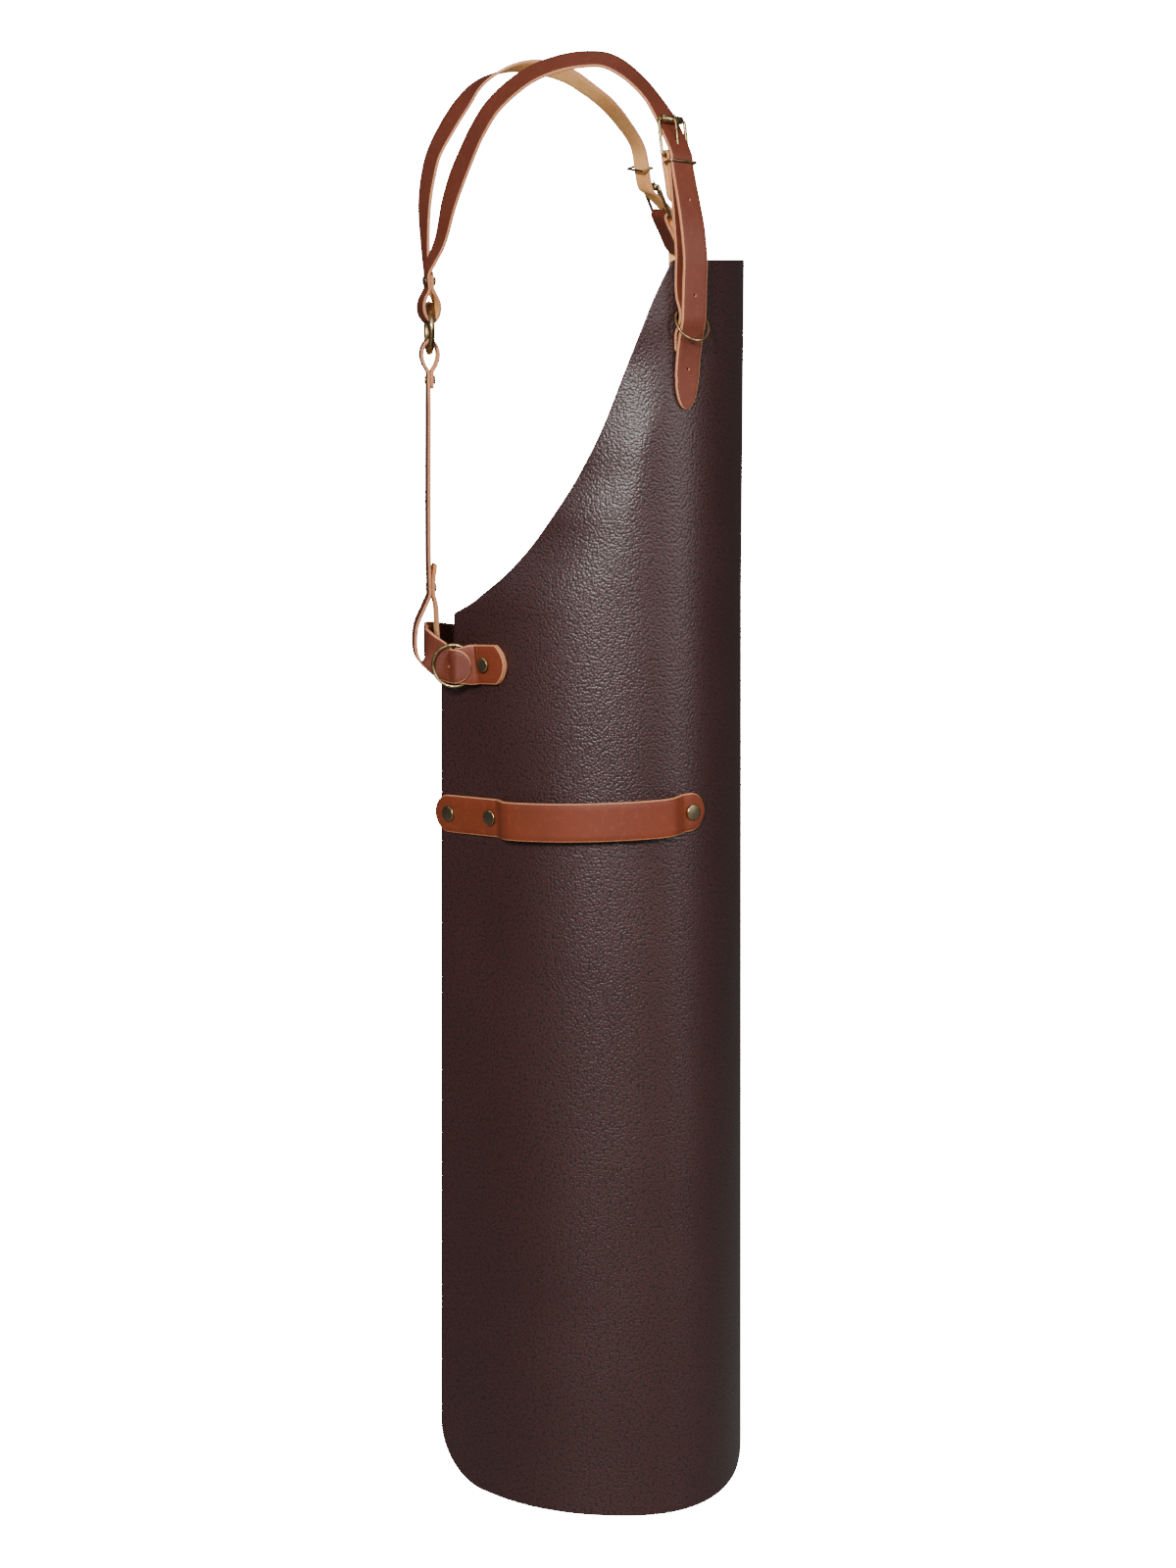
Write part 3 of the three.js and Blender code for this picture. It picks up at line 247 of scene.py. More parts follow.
def on_panel(side, reach, drop, off):
    """A point that stands off from the panel's outer face, drop below the bib's top."""
    at, _, outward = panel_frame(side, reach, drop)
    return at * flare_at(drop) + Vector((0, 0, bib_top - drop)) + outward * off


def curve_through(points, per_span):
    """A centripetal curve through points, as places with the number of the span they lie on."""
    chain = [points[0] * 2 - points[1], *points, points[-1] * 2 - points[-2]]
    found = []
    for i in range(len(points) - 1):
        a, b, c, d = chain[i:i + 4]
        ab, bc, cd = [max((q - p).length, 1e-3) ** 0.5 for p, q in ((a, b), (b, c), (c, d))]
        leave = ((b - a) / ab - (c - a) / (ab + bc) + (c - b) / bc) * bc
        arrive = ((c - b) / bc - (d - b) / (bc + cd) + (d - c) / cd) * bc
        for j in range(per_span):
            t = j / per_span
            place = (b * (2 * t ** 3 - 3 * t ** 2 + 1) + leave * (t ** 3 - 2 * t ** 2 + t)
                     + c * (3 * t ** 2 - 2 * t ** 3) + arrive * (t ** 3 - t ** 2))
            found.append((place, i + t))
    found.append((points[-1].copy(), len(points) - 1))
    return found


# How far round the panel reaches at each depth of the armhole, as shares
armhole = [
    {"down": 0.105, "out": 0.077},
    {"down": 0.214, "out": 0.145},
    {"down": 0.336, "out": 0.221},
    {"down": 0.452, "out": 0.292},
    {"down": 0.525, "out": 0.343},
    {"down": 0.673, "out": 0.463},
    {"down": 0.797, "out": 0.596},
    {"down": 0.873, "out": 0.704},
    {"down": 0.926, "out": 0.807},
    {"down": 0.964, "out": 0.889},
    {"down": 1, "out": 1},
]


def panel_rows():
    """Depth and half width of each row of the panel's mesh."""
    rows = []
    for i in range(5):
        turn = i / 4 * pi / 2
        rows.append((bib_corner_radius * (1 - cos(turn)),
                     bib_half_width + bib_corner_radius * (sin(turn) * 1.3 - 1)))
    edge = [Vector((bib_corner_radius, bib_half_width + bib_corner_radius * 0.3))]
    for row in armhole:
        edge.append(Vector((row["down"] * armhole_depth,
                            mix(bib_half_width, waist_half_width, row["out"]))))
    rows.extend(tuple(place) for place, _ in curve_through(edge, 8)[1:])
    waist = armhole_depth + waist_edge_height
    rows.extend((armhole_depth + waist_edge_height * i / 6, waist_half_width) for i in range(1, 7))
    for i in range(1, 8):
        rows.append((waist + waist_step_height * i / 7,
                     mix(waist_half_width, skirt_half_width, i / 7)))
    corner_top = panel_height - hem_corner_radius
    skirt_rows = 110
    for i in range(1, skirt_rows + 1):
        rows.append((mix(waist + waist_step_height, corner_top, i / skirt_rows), skirt_half_width))
    for i in range(1, 17):
        turn = i / 16 * pi / 2
        rows.append((corner_top + hem_corner_radius * sin(turn),
                     skirt_half_width - hem_corner_radius * (1 - cos(turn))))
    return rows


def piece_from(name, mesh, materials):
    """A piece of the apron from its mesh, smooth but for its sharp edges."""
    for material in materials:
        mesh.materials.append(material)
    for polygon in mesh.polygons:
        polygon.use_smooth = True
    mesh.set_sharp_from_angle(angle=radians(50))
    piece = bpy.data.objects.new(name, mesh)
    bpy.context.collection.objects.link(piece)
    return piece


def join_frame(piece, node):
    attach(piece, "root")
    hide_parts(node)


def lay_out(mesh, spots):
    """Lay the mesh out flat as the hide that it was cut from, with a spot for each point."""
    layer = mesh.uv_layers.new(name="hide")
    for loop in mesh.loops:
        layer.data[loop.index].uv = spots[loop.vertex_index]
    return mesh


# Where the bib's flank folds back at each depth: reach is the fold's line, and back is how far
# the leather behind it lies inside the plain curve, as a share of its way from the line
fold_softness = 4
flank_fold = [
    {"drop": 40, "reach": 146, "back": 0},
    {"drop": 75, "reach": 150, "back": 0.16},
    {"drop": 143, "reach": 172, "back": 0.2},
    {"drop": 185, "reach": 178, "back": 0.12},
    {"drop": 250, "reach": 184, "back": 0},
]


def fold_back(reach, drop):
    """How far the bib's flank lies inside the plain curve behind its soft fold."""
    for upper, lower in zip(flank_fold, flank_fold[1:]):
        if upper["drop"] <= drop < lower["drop"]:
            t = (drop - upper["drop"]) / (lower["drop"] - upper["drop"])
            t = t * t * (3 - 2 * t)
            past = reach - mix(upper["reach"], lower["reach"], t)
            rounded = (past + sqrt(past ** 2 + fold_softness ** 2)) / 2
            return -rounded * mix(upper["back"], lower["back"], t)
    return 0


def panel_mesh():
    columns = 170
    rows = panel_rows()
    places, spots, faces = [], [], []
    for drop, reach in rows:
        for c in range(columns + 1):
            along = mix(-reach, reach, c / columns)
            side = -1 if along < 0 else 1
            places.append(on_panel(side, abs(along), drop, fold_back(abs(along), drop)) * mm)
            spots.append((along * mm, -drop * mm))
    for r in range(len(rows) - 1):
        for c in range(columns):
            a = r * (columns + 1) + c
            faces.append((a, a + columns + 1, a + columns + 2, a + 1))
    return lay_out(new_mesh("panel_leather", places, faces), spots)


# Pebbled cowhide: pressed grain under oil gives a soft broken sheen in fine pebbles
def pebbled_cowhide():
    pebble = 1.7 * mm
    material, tree, shader = new_material("pebbled_cowhide")
    hide = add_node(tree, "ShaderNodeTexCoord").outputs["UV"]
    sway = add_node(tree, "ShaderNodeTexNoise", {"Vector": hide, "Scale": 0.4 / pebble, "Detail": 2.0},
                    noise_dimensions="2D")
    pull = add_node(tree, "ShaderNodeVectorMath", {0: sway.outputs["Color"], 1: (pebble * 0.8,) * 3},
                    operation="MULTIPLY")
    pulled = add_node(tree, "ShaderNodeVectorMath", {0: hide, 1: pull.outputs[0]}, operation="ADD")
    pebbles = add_node(tree, "ShaderNodeTexVoronoi", {
        "Vector": pulled.outputs[0], "Scale": 1 / pebble,
    }, voronoi_dimensions="2D", feature="SMOOTH_F1")
    lift = add_node(tree, "ShaderNodeMapRange", {
        "Value": pebbles.outputs["Distance"], "From Min": 0.1, "From Max": 0.75,
        "To Min": 1.0, "To Max": 0.0,
    }, interpolation_type="SMOOTHSTEP")
    bump = add_node(tree, "ShaderNodeBump", {
        "Height": lift.outputs[0], "Strength": 0.9, "Distance": 0.2 * mm,
    })
    cloud = add_node(tree, "ShaderNodeTexNoise", {"Vector": hide, "Scale": 9.0, "Detail": 5.0},
                     noise_dimensions="2D")
    dye = add_node(tree, "ShaderNodeMix", {
        0: cloud.outputs["Fac"], 6: linear_colour("#2f1615"), 7: linear_colour("#391c1b"),
    }, data_type="RGBA")
    # Painted shade: the valleys between the pebbles are darkened in the base colour
    deep = add_node(tree, "ShaderNodeMix", {
        0: lift.outputs[0], 6: linear_colour("#1d100f"), 7: dye.outputs[2],
    }, data_type="RGBA")
    tree.links.new(deep.outputs[2], shader.inputs["Base Color"])
    rub = add_node(tree, "ShaderNodeMapRange", {
        "Value": cloud.outputs["Fac"], "To Min": 0.36, "To Max": 0.46,
    })
    tree.links.new(rub.outputs[0], shader.inputs["Roughness"])
    tree.links.new(bump.outputs[0], shader.inputs["Normal"])
    shader.inputs["IOR"].default_value = 1.48
    return material


# Flesh side: the split fibres of the hide's back, matt and slightly furry
def flesh_side(name, light, dark):
    material, tree, shader = new_material(name)
    hide = add_node(tree, "ShaderNodeTexCoord").outputs["UV"]
    drawn = add_node(tree, "ShaderNodeMapping", {"Vector": hide, "Scale": (0.35, 1, 1)})
    fibre = add_node(tree, "ShaderNodeTexNoise", {
        "Vector": drawn.outputs[0], "Scale": 1 / (2.2 * mm), "Detail": 6.0, "Roughness": 0.7,
    }, noise_dimensions="2D")
    patch = add_node(tree, "ShaderNodeTexNoise", {"Vector": hide, "Scale": 1 / (30 * mm)},
                     noise_dimensions="2D")
    blend = add_node(tree, "ShaderNodeMath", {0: fibre.outputs["Fac"], 1: patch.outputs["Fac"]},
                     operation="MULTIPLY")
    tone = add_node(tree, "ShaderNodeMapRange", {
        "Value": blend.outputs[0], "From Min": 0.12, "From Max": 0.4,
    })
    mixed = add_node(tree, "ShaderNodeMix", {
        0: tone.outputs[0], 6: linear_colour(dark), 7: linear_colour(light),
    }, data_type="RGBA")
    bump = add_node(tree, "ShaderNodeBump", {
        "Height": fibre.outputs["Fac"], "Strength": 0.5, "Distance": 0.15 * mm,
    })
    tree.links.new(mixed.outputs[2], shader.inputs["Base Color"])
    tree.links.new(bump.outputs[0], shader.inputs["Normal"])
    shader.inputs["Roughness"].default_value = 0.88
    return material


# Cut edge: the hide's undyed middle shows as a pale matt line along each knife cut
def cut_edge(name, light, dark):
    material, tree, shader = new_material(name)
    hide = add_node(tree, "ShaderNodeTexCoord").outputs["Object"]
    fibre = add_node(tree, "ShaderNodeTexNoise", {
        "Vector": hide, "Scale": 1 / (1.5 * mm), "Detail": 4.0, "Roughness": 0.6,
    })
    mixed = add_node(tree, "ShaderNodeMix", {
        0: fibre.outputs["Fac"], 6: linear_colour(dark), 7: linear_colour(light),
    }, data_type="RGBA")
    bump = add_node(tree, "ShaderNodeBump", {
        "Height": fibre.outputs["Fac"], "Strength": 0.4, "Distance": 0.1 * mm,
    })
    tree.links.new(mixed.outputs[2], shader.inputs["Base Color"])
    tree.links.new(bump.outputs[0], shader.inputs["Normal"])
    shader.inputs["Roughness"].default_value = 0.75
    return material


panel = piece_from("panel_leather", panel_mesh(), [
    pebbled_cowhide(),
    flesh_side("brown_flesh_side", "#7a5f52", "#584238"),
    cut_edge("brown_cut_edge", "#4a3533", "#2b1e1d"),
])
thick = panel.modifiers.new("thickness", "SOLIDIFY")
thick.thickness = panel_thickness * mm
thick.offset = -1
thick.material_offset = 1
thick.material_offset_rim = 2
round_off = panel.modifiers.new("rounded_cut", "BEVEL")
round_off.width = 0.4 * mm
round_off.segments = 2
round_off.limit_method = "ANGLE"
round_off.angle_limit = radians(60)
join_frame(panel, "panel")
for (drop, reach), (next_drop, next_reach) in zip(panel_rows(), panel_rows()[1:]):
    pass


# Side tabs, rings and rivets
# A cognac tab of waxed leather is folded round each side ring and held by one capped rivet.
# The ring swings out from the panel on the fold; it is brass wire with an antique finish.

tab_width = 28.4
tab_fold_width = 26
tab_thickness = 2.2
tab_rivet_reach = 281.3
tab_rivet_drop = 289.1
tab_nose = 18
tab_hinge = 7.6
tab_slope = 0.07
side_ring_radius = 15.2
side_ring_wire = 1.25
side_ring_from_hinge = 17.8
side_ring_swing = radians(36)
tab_fold_past_centre = 5
rivet_cap_radius = 5.9
rivet_cap_height = 1.9
rivet_post_radius = 1.8
rivet_back_radius = 4.6
rivet_back_height = 1
bend_allowance = 0.7
hole_radius = 1.25
plug_half = 3
tab_end = (17, 17)
ply_lift = clearance + tab_thickness / 2
ring_lift = side_ring_wire + clearance * 1.5 + tab_thickness / 2


# Waxed saddle leather: smooth grain with fine pores and a soft wax shine
def waxed_leather(name, colour, deep, pale):
    pore = 0.9 * mm
    material, tree, shader = new_material(name)
    hide = add_node(tree, "ShaderNodeTexCoord").outputs["UV"]
    pores = add_node(tree, "ShaderNodeTexVoronoi", {"Vector": hide, "Scale": 1 / pore},
                     voronoi_dimensions="2D", feature="SMOOTH_F1")
    wrinkle = add_node(tree, "ShaderNodeTexNoise", {
        "Vector": hide, "Scale": 1 / (6 * mm), "Detail": 6.0, "Roughness": 0.6,
    }, noise_dimensions="2D")
    cloud = add_node(tree, "ShaderNodeTexNoise", {"Vector": hide, "Scale": 1 / (40 * mm), "Detail": 3.0},
                     noise_dimensions="2D")
    dyed = add_node(tree, "ShaderNodeMix", {
        0: cloud.outputs["Fac"], 6: linear_colour(deep), 7: linear_colour(colour),
    }, data_type="RGBA")
    fade = add_node(tree, "ShaderNodeMapRange", {
        "Value": wrinkle.outputs["Fac"], "From Min": 0.55, "From Max": 0.8, "To Max": 0.5,
    })
    worn = add_node(tree, "ShaderNodeMix", {
        0: fade.outputs[0], 6: dyed.outputs[2], 7: linear_colour(pale),
    }, data_type="RGBA")
    height = add_node(tree, "ShaderNodeMath", {
        0: pores.outputs["Distance"], 1: wrinkle.outputs["Fac"],
    }, operation="ADD")
    bump = add_node(tree, "ShaderNodeBump", {
        "Height": height.outputs[0], "Strength": 0.35, "Distance": 0.1 * mm,
    })
    tree.links.new(worn.outputs[2], shader.inputs["Base Color"])
    tree.links.new(bump.outputs[0], shader.inputs["Normal"])
    shader.inputs["Roughness"].default_value = 0.58
    shader.inputs["Specular IOR Level"].default_value = 0.32
    return material


# Antique brass: plated wire darkened in patches and rubbed bright between them
def antique_brass(name, rubbed, dark):
    material, tree, shader = new_material(name)
    spot = add_node(tree, "ShaderNodeTexCoord").outputs["Object"]
    patina = add_node(tree, "ShaderNodeTexNoise", {
        "Vector": spot, "Scale": 1 / (5 * mm), "Detail": 5.0, "Roughness": 0.65,
    })
    share = add_node(tree, "ShaderNodeMapRange", {
        "Value": patina.outputs["Fac"], "From Min": 0.4, "From Max": 0.62,
    })
    tone = add_node(tree, "ShaderNodeMix", {
        0: share.outputs[0], 6: linear_colour(rubbed), 7: linear_colour(dark),
    }, data_type="RGBA")
    rough = add_node(tree, "ShaderNodeMapRange", {
        "Value": share.outputs[0], "To Min": 0.24, "To Max": 0.42,
    })
    bump = add_node(tree, "ShaderNodeBump", {
        "Height": patina.outputs["Fac"], "Strength": 0.2, "Distance": 0.1 * mm,
    })
    tree.links.new(tone.outputs[2], shader.inputs["Base Color"])
    tree.links.new(rough.outputs[0], shader.inputs["Roughness"])
    tree.links.new(bump.outputs[0], shader.inputs["Normal"])
    shader.inputs["Metallic"].default_value = 1
    return material


brass = antique_brass("antique_brass", "#b39a6c", "#6b573a")
worn_cap = antique_brass("worn_rivet_cap", "#a1967c", "#6e614c")
cognac_sides = [
    waxed_leather("cognac_waxed_leather", "#6c2c14", "#58230f", "#7b391d"),
    flesh_side("cognac_flesh_side", "#b98258", "#8f5c3a"),
    cut_edge("cognac_cut_edge", "#c98a5c", "#8e4f2c"),
]


def end_half(shape, inside, half):
    """Half width near a strap's end: rounded corners, or an ellipse by its two half axes."""
    if isinstance(shape, tuple):
        along, across = shape
        if inside < along:
            return min(half, across * sqrt(max(0, 1 - ((along - inside) / along) ** 2)))
        return half
    if inside < shape:
        return half - shape + sqrt(max(0, shape ** 2 - (shape - inside) ** 2))
    return half


def strap_rows(stations, width, start, end):
    """Places, faces, half widths and distances of a strap's sections."""
    fine = curve_through([place for place, _, _ in stations], 40)
    gone = [0]
    for (a, _), (b, _) in zip(fine, fine[1:]):
        gone.append(gone[-1] + (b - a).length)
    length = gone[-1]
    step = 1.3
    distances = [length * i / ceil(length / step) for i in range(ceil(length / step) + 1)]
    for i in range(1, 12):
        share = 1 - cos(i / 12 * pi / 2)
        start_length, end_length = [s[0] if isinstance(s, tuple) else s for s in (start, end)]
        distances += [start_length * share, length - end_length * share]
    distances.sort()
    kept = [distances[0]]
    for distance in distances[1:]:
        if distance - kept[-1] > 0.04:
            kept.append(distance)
    rows, i = [], 0
    for distance in kept:
        while i < len(gone) - 2 and gone[i + 1] < distance:
            i += 1
        t = (distance - gone[i]) / max(gone[i + 1] - gone[i], 1e-6)
        (a, spot_a), (b, spot_b) = fine[i], fine[i + 1]
        spot = mix(spot_a, spot_b, t)
        station = min(len(stations) - 2, int(spot))
        _, face_a, width_a = stations[station]
        _, face_b, width_b = stations[station + 1]
        face = face_a.lerp(face_b, spot - station).normalized()
        half = mix(width_a or width, width_b or width, spot - station) / 2
        half = end_half(end, length - distance, end_half(start, distance, half))
        rows.append({"place": a.lerp(b, t), "face": face, "half": max(half, 0.6), "gone": distance})
    for _ in range(24):
        faces = [row["face"] for row in rows]
        for i in range(1, len(rows) - 1):
            rows[i]["face"] = (faces[i - 1] + faces[i] * 2 + faces[i + 1]).normalized()
    return rows


def strap_mesh(name, stations, width, thickness, start, end):
    """A flat strap with softened corners: grain side, flesh side and edges in three materials."""
    rows = strap_rows(stations, width, start, end)
    soft = 0.28 * thickness
    flat = 6
    places, spots, faces, kinds = [], [], [], []
    for i, row in enumerate(rows):
        before, after = rows[max(0, i - 1)]["place"], rows[min(len(rows) - 1, i + 1)]["place"]
        tangent = (after - before).normalized()
        across = tangent.cross(row["face"]).normalized()
        out = across.cross(tangent).normalized()
        half, lift = row["half"], thickness / 2
        inner = half - min(soft, half * 0.5)
        ring = [(mix(-inner, inner, c / flat), lift) for c in range(flat + 1)]
        ring += [(mix(inner, half, 0.7), lift - soft * 0.3), (half, lift - soft),
                 (half, soft - lift), (mix(inner, half, 0.7), soft * 0.3 - lift)]
        ring += [(mix(inner, -inner, c / flat), -lift) for c in range(flat + 1)]
        ring += [(-mix(inner, half, 0.7), soft * 0.3 - lift), (-half, soft - lift),
                 (-half, lift - soft), (-mix(inner, half, 0.7), lift - soft * 0.3)]
        for x, z in ring:
            places.append((row["place"] + across * x + out * z) * mm)
            spots.append((row["gone"] * mm, (x if z > 0 else x + 2 * width) * mm))
    count = len(ring)
    for r in range(len(rows) - 1):
        for s in range(count):
            t = (s + 1) % count
            faces.append((r * count + s, r * count + t, (r + 1) * count + t, (r + 1) * count + s))
            on_top = s < flat
            below = flat + 5 <= s < 2 * flat + 5
            kinds.append(0 if on_top else 1 if below else 2)
    last = (len(rows) - 1) * count
    faces += [tuple(reversed(range(count))), tuple(range(last, last + count))]
    kinds += [2, 2]
    return lay_out(new_mesh(name, places, faces, kinds), spots)


def circle(centre, across, other, radius, count):
    """Points round a circle that across and other span."""
    angles = [2 * pi * i / count for i in range(count)]
    return [centre + (across * cos(angle) + other * sin(angle)) * radius for angle in angles]


def punch(piece, stations, width, start, end, distances):
    """Small round holes on a strap's middle line; a distance below zero counts from its end."""
    rows = strap_rows(stations, width, start, end)
    for distance in distances:
        gone = distance if distance > 0 else rows[-1]["gone"] + distance
        i = min(range(1, len(rows) - 1), key=lambda k: abs(rows[k]["gone"] - gone))
        way = rows[i]["face"].normalized()
        across = way.orthogonal().normalized()
        other = way.cross(across)
        sides, places = 24, []
        for end_of_plug in (-plug_half, plug_half):
            middle = rows[i]["place"] + way * end_of_plug
            places += [place * mm for place in circle(middle, across, other, hole_radius, sides)]
        faces = [tuple(reversed(range(sides))), tuple(range(sides, 2 * sides))]
        faces += [(s, (s + 1) % sides, sides + (s + 1) % sides, sides + s) for s in range(sides)]
        mesh = new_mesh("plug", places, faces, [2] * len(faces))
        plug = bpy.data.objects.new("plug", mesh)
        bpy.context.collection.objects.link(plug)
        cut = piece.modifiers.new("hole", "BOOLEAN")
        cut.object = plug
        cut.solver = "EXACT"
        shaped = piece.evaluated_get(bpy.context.evaluated_depsgraph_get())
        holed = bpy.data.meshes.new_from_object(shaped)
        piece.modifiers.clear()
        piece.data = holed
        bpy.data.objects.remove(plug)
        bpy.data.meshes.remove(mesh)


def wire_mesh(name, path, radii, closed):
    """A round wire along a path of points, closed to a ring or with flat ends."""
    sides = 14
    count = len(path)
    tangents = []
    for i in range(count):
        before = path[i - 1] if closed or i else path[0]
        after = path[(i + 1) % count] if closed or i < count - 1 else path[-1]
        tangents.append((after - before).normalized())
    side = tangents[0].orthogonal().normalized()
    places, faces = [], []
    for i, tangent in enumerate(tangents):
        side = (side - tangent * side.dot(tangent)).normalized()
        other = tangent.cross(side)
        places += [place * mm for place in circle(path[i], side, other, radii[i], sides)]
    for i in range(count if closed else count - 1):
        j = (i + 1) % count
        for s in range(sides):
            t = (s + 1) % sides
            faces.append((i * sides + s, i * sides + t, j * sides + t, j * sides + s))
    if not closed:
        end = (count - 1) * sides
        faces += [tuple(reversed(range(sides))), tuple(range(end, end + sides))]
    return new_mesh(name, places, faces)


def add_ring(node, centre, normal, radius, wire):
    """A closed ring of wire in brass."""
    across = normal.orthogonal().normalized()
    other = normal.cross(across).normalized()
    path = circle(centre, across, other, radius, 96)
    ring = piece_from(f"{node}_brass", wire_mesh(node, path, [wire] * len(path), True), [brass])
    join_frame(ring, node)


def add_rivet(node, cap_radius, cap_height, seat_high, seat_low, place, axis):
    """A riveted stud: domed cap outside with a bright rim, post, and a plain washer behind."""
    top, low = seat_high + clearance, seat_low - clearance
    washer = min(rivet_back_radius, cap_radius)
    profile = [
        (0, low - rivet_back_height), (washer * 0.92, low - rivet_back_height),
        (washer, low - rivet_back_height * 0.7), (washer, low), (rivet_post_radius, low),
        (rivet_post_radius, top), (cap_radius * 0.96, top), (cap_radius, top + cap_height * 0.2),
    ]
    dome = ((0.99, 0.5), (0.95, 0.72), (0.89, 0.82), (0.83, 0.84), (0.62, 0.91), (0.32, 0.98), (0, 1))
    for share, rise in dome:
        profile.append((cap_radius * share, top + cap_height * rise))
    turned = axis.normalized()
    across = turned.orthogonal().normalized()
    other = turned.cross(across)
    sides = 40
    places, faces, rings, kinds = [], [], [], []
    for radius, height in profile:
        centre = place + turned * height
        if radius == 0:
            rings.append([len(places)])
            places.append(centre * mm)
            continue
        rings.append(list(range(len(places), len(places) + sides)))
        places += [point * mm for point in circle(centre, across, other, radius, sides)]
    inside_rim = len(profile) - 4
    for r, (lower, upper) in enumerate(zip(rings, rings[1:])):
        for s in range(sides):
            t = (s + 1) % sides
            kinds.append(1 if r >= inside_rim else 0)
            if len(lower) == 1:
                faces.append((lower[0], upper[t], upper[s]))
            elif len(upper) == 1:
                faces.append((lower[s], lower[t], upper[0]))
            else:
                faces.append((lower[s], lower[t], upper[t], upper[s]))
    rivet = piece_from(f"{node}_brass", new_mesh(node, places, faces, kinds), [brass, worn_cap])
    join_frame(rivet, node)


def tab_drop_at(reach):
    return tab_rivet_drop + (reach - tab_rivet_reach) * tab_slope


def ring_frame(side):
    """The side ring's centre, the way it swings to, its face, and a place counted from it."""
    hinge_reach = tab_rivet_reach + tab_hinge
    _, along, outward = panel_frame(side, hinge_reach, tab_rivet_drop)
    away = along * cos(side_ring_swing) + outward * sin(side_ring_swing)
    face = outward * cos(side_ring_swing) - along * sin(side_ring_swing)
    centre = on_panel(side, hinge_reach, tab_rivet_drop, ply_lift + ring_lift)
    centre += away * side_ring_from_hinge
    centre.z = bib_top - tab_drop_at(hinge_reach + side_ring_from_hinge)

    def at(to_hinge, lift, rise=0):
        return centre - away * to_hinge + face * lift + Vector((0, 0, rise + to_hinge * tab_slope))

    return centre, away, face, at


def tab_stations(side):
    """From the tab's nose on the panel, round the side ring and back over itself."""
    _, away, face, at = ring_frame(side)
    _, _, outward = panel_frame(side, tab_rivet_reach, tab_rivet_drop)
    nose = tab_rivet_reach - tab_nose
    hinge = tab_rivet_reach + tab_hinge
    high_lift = ply_lift + tab_thickness + clearance
    middle = (outward + face).normalized()
    low = [nose, mix(nose, tab_rivet_reach, 0.5), tab_rivet_reach, tab_rivet_reach + tab_hinge * 0.8]

    def on_face(reach, lift):
        return on_panel(side, reach, tab_drop_at(reach), lift)

    stations = [(on_face(reach, ply_lift), -outward, tab_width) for reach in low]
    stations.append((on_face(hinge, ply_lift + 0.35), -middle, tab_width))
    shares = [(1.1, tab_width), (0.8, tab_width), (0.5, mix(tab_width, tab_fold_width, 0.6))]
    for share, width in shares:
        stations.append((at(share * side_ring_radius, -ring_lift), -face, width))
    for degrees in (-90, -45, 0, 45, 90):
        turn = radians(degrees)
        stations.append((at(tab_fold_past_centre - ring_lift * cos(turn), ring_lift * sin(turn)),
                         face * sin(turn) + away * cos(turn), tab_fold_width))
    for share, width in reversed(shares):
        stations.append((at(share * side_ring_radius, ring_lift), face.copy(), width))
    stations.append((on_face(hinge, high_lift + 0.4), middle, tab_width))
    stations += [(on_face(reach, high_lift), outward.copy(), tab_width) for reach in reversed(low)]
    return stations


tab_top_lift = clearance * 2 + tab_thickness * 2

for side, name in ((-1, "right"), (1, "left")):
    centre, away, face, at = ring_frame(side)
    _, _, outward = panel_frame(side, tab_rivet_reach, tab_rivet_drop)
    mesh = strap_mesh(f"side_tab_{name}", tab_stations(side), tab_width, tab_thickness,
                      tab_end, tab_end)
    tab = piece_from(f"side_tab_{name}_leather", mesh, cognac_sides)
    join_frame(tab, f"side_tab_{name}")
    add_ring(f"side_ring_{name}", centre, face, side_ring_radius, side_ring_wire)
    add_rivet(f"tab_rivet_{name}", rivet_cap_radius - clearance, rivet_cap_height,
              tab_top_lift + clearance * 4, -panel_thickness - bend_allowance * 1.4,
              on_panel(side, tab_rivet_reach, tab_rivet_drop, 0), outward)


# Waist belt
# A narrower strap of the same saddle leather crosses the back, goes up through both side rings
# and ends laid over the folds of the tabs.

belt_width = 25
belt_thickness = 2.4
belt_end_past_ring = 14
belt_back_drop = 283.7
belt_back_reach = 124.9
near_belt_rise = 14.5
far_belt_rise = -10
belt_end = (12.5, 12.5)
awl_mark = 19
strap_sides = [
    waxed_leather("chestnut_waxed_leather", "#602b1a", "#512213", "#6f3623"),
    flesh_side("tan_flesh_side", "#fabd76", "#e4a05a"),
    cut_edge("tan_cut_edge", "#c98a62", "#99603c"),
]


def belt_half(side):
    _, away, face, at = ring_frame(side)
    lift = ring_lift + tab_thickness / 2 + clearance + belt_thickness / 2
    under = side_ring_wire + clearance * 2.5 + belt_thickness / 2
    entering = (face + away * 0.9).normalized()
    turned = (face + away).normalized()
    back = Vector((0, 1, 0))
    rise = near_belt_rise if side < 0 else far_belt_rise
    bend = at(-side_ring_radius - 5.5, -under - 5, rise)
    level = bib_top - belt_back_drop
    return [
        (at(belt_end_past_ring, lift + 0.1, -1.5), face, None),
        (at(belt_end_past_ring * 0.5, lift + 0.1, -0.5), face, None),
        (at(tab_fold_past_centre - ring_lift, lift), face, None),
        (at(-3.2, -0.6, 0.2), entering, None),
        (at(-8, -under - 0.4, rise * 0.15), face, None),
        (at(-side_ring_radius, -under - 0.2, rise * 0.65), face, None),
        (at(-side_ring_radius - 3.6, -under - 1.4, rise * 0.9), turned, None),
        (bend, (back + face * 0.15).normalized(), None),
        (Vector((bend.x * 0.6, mix(bend.y, belt_back_reach, 0.4), mix(bend.z, level, 0.45))),
         back, None),
    ]


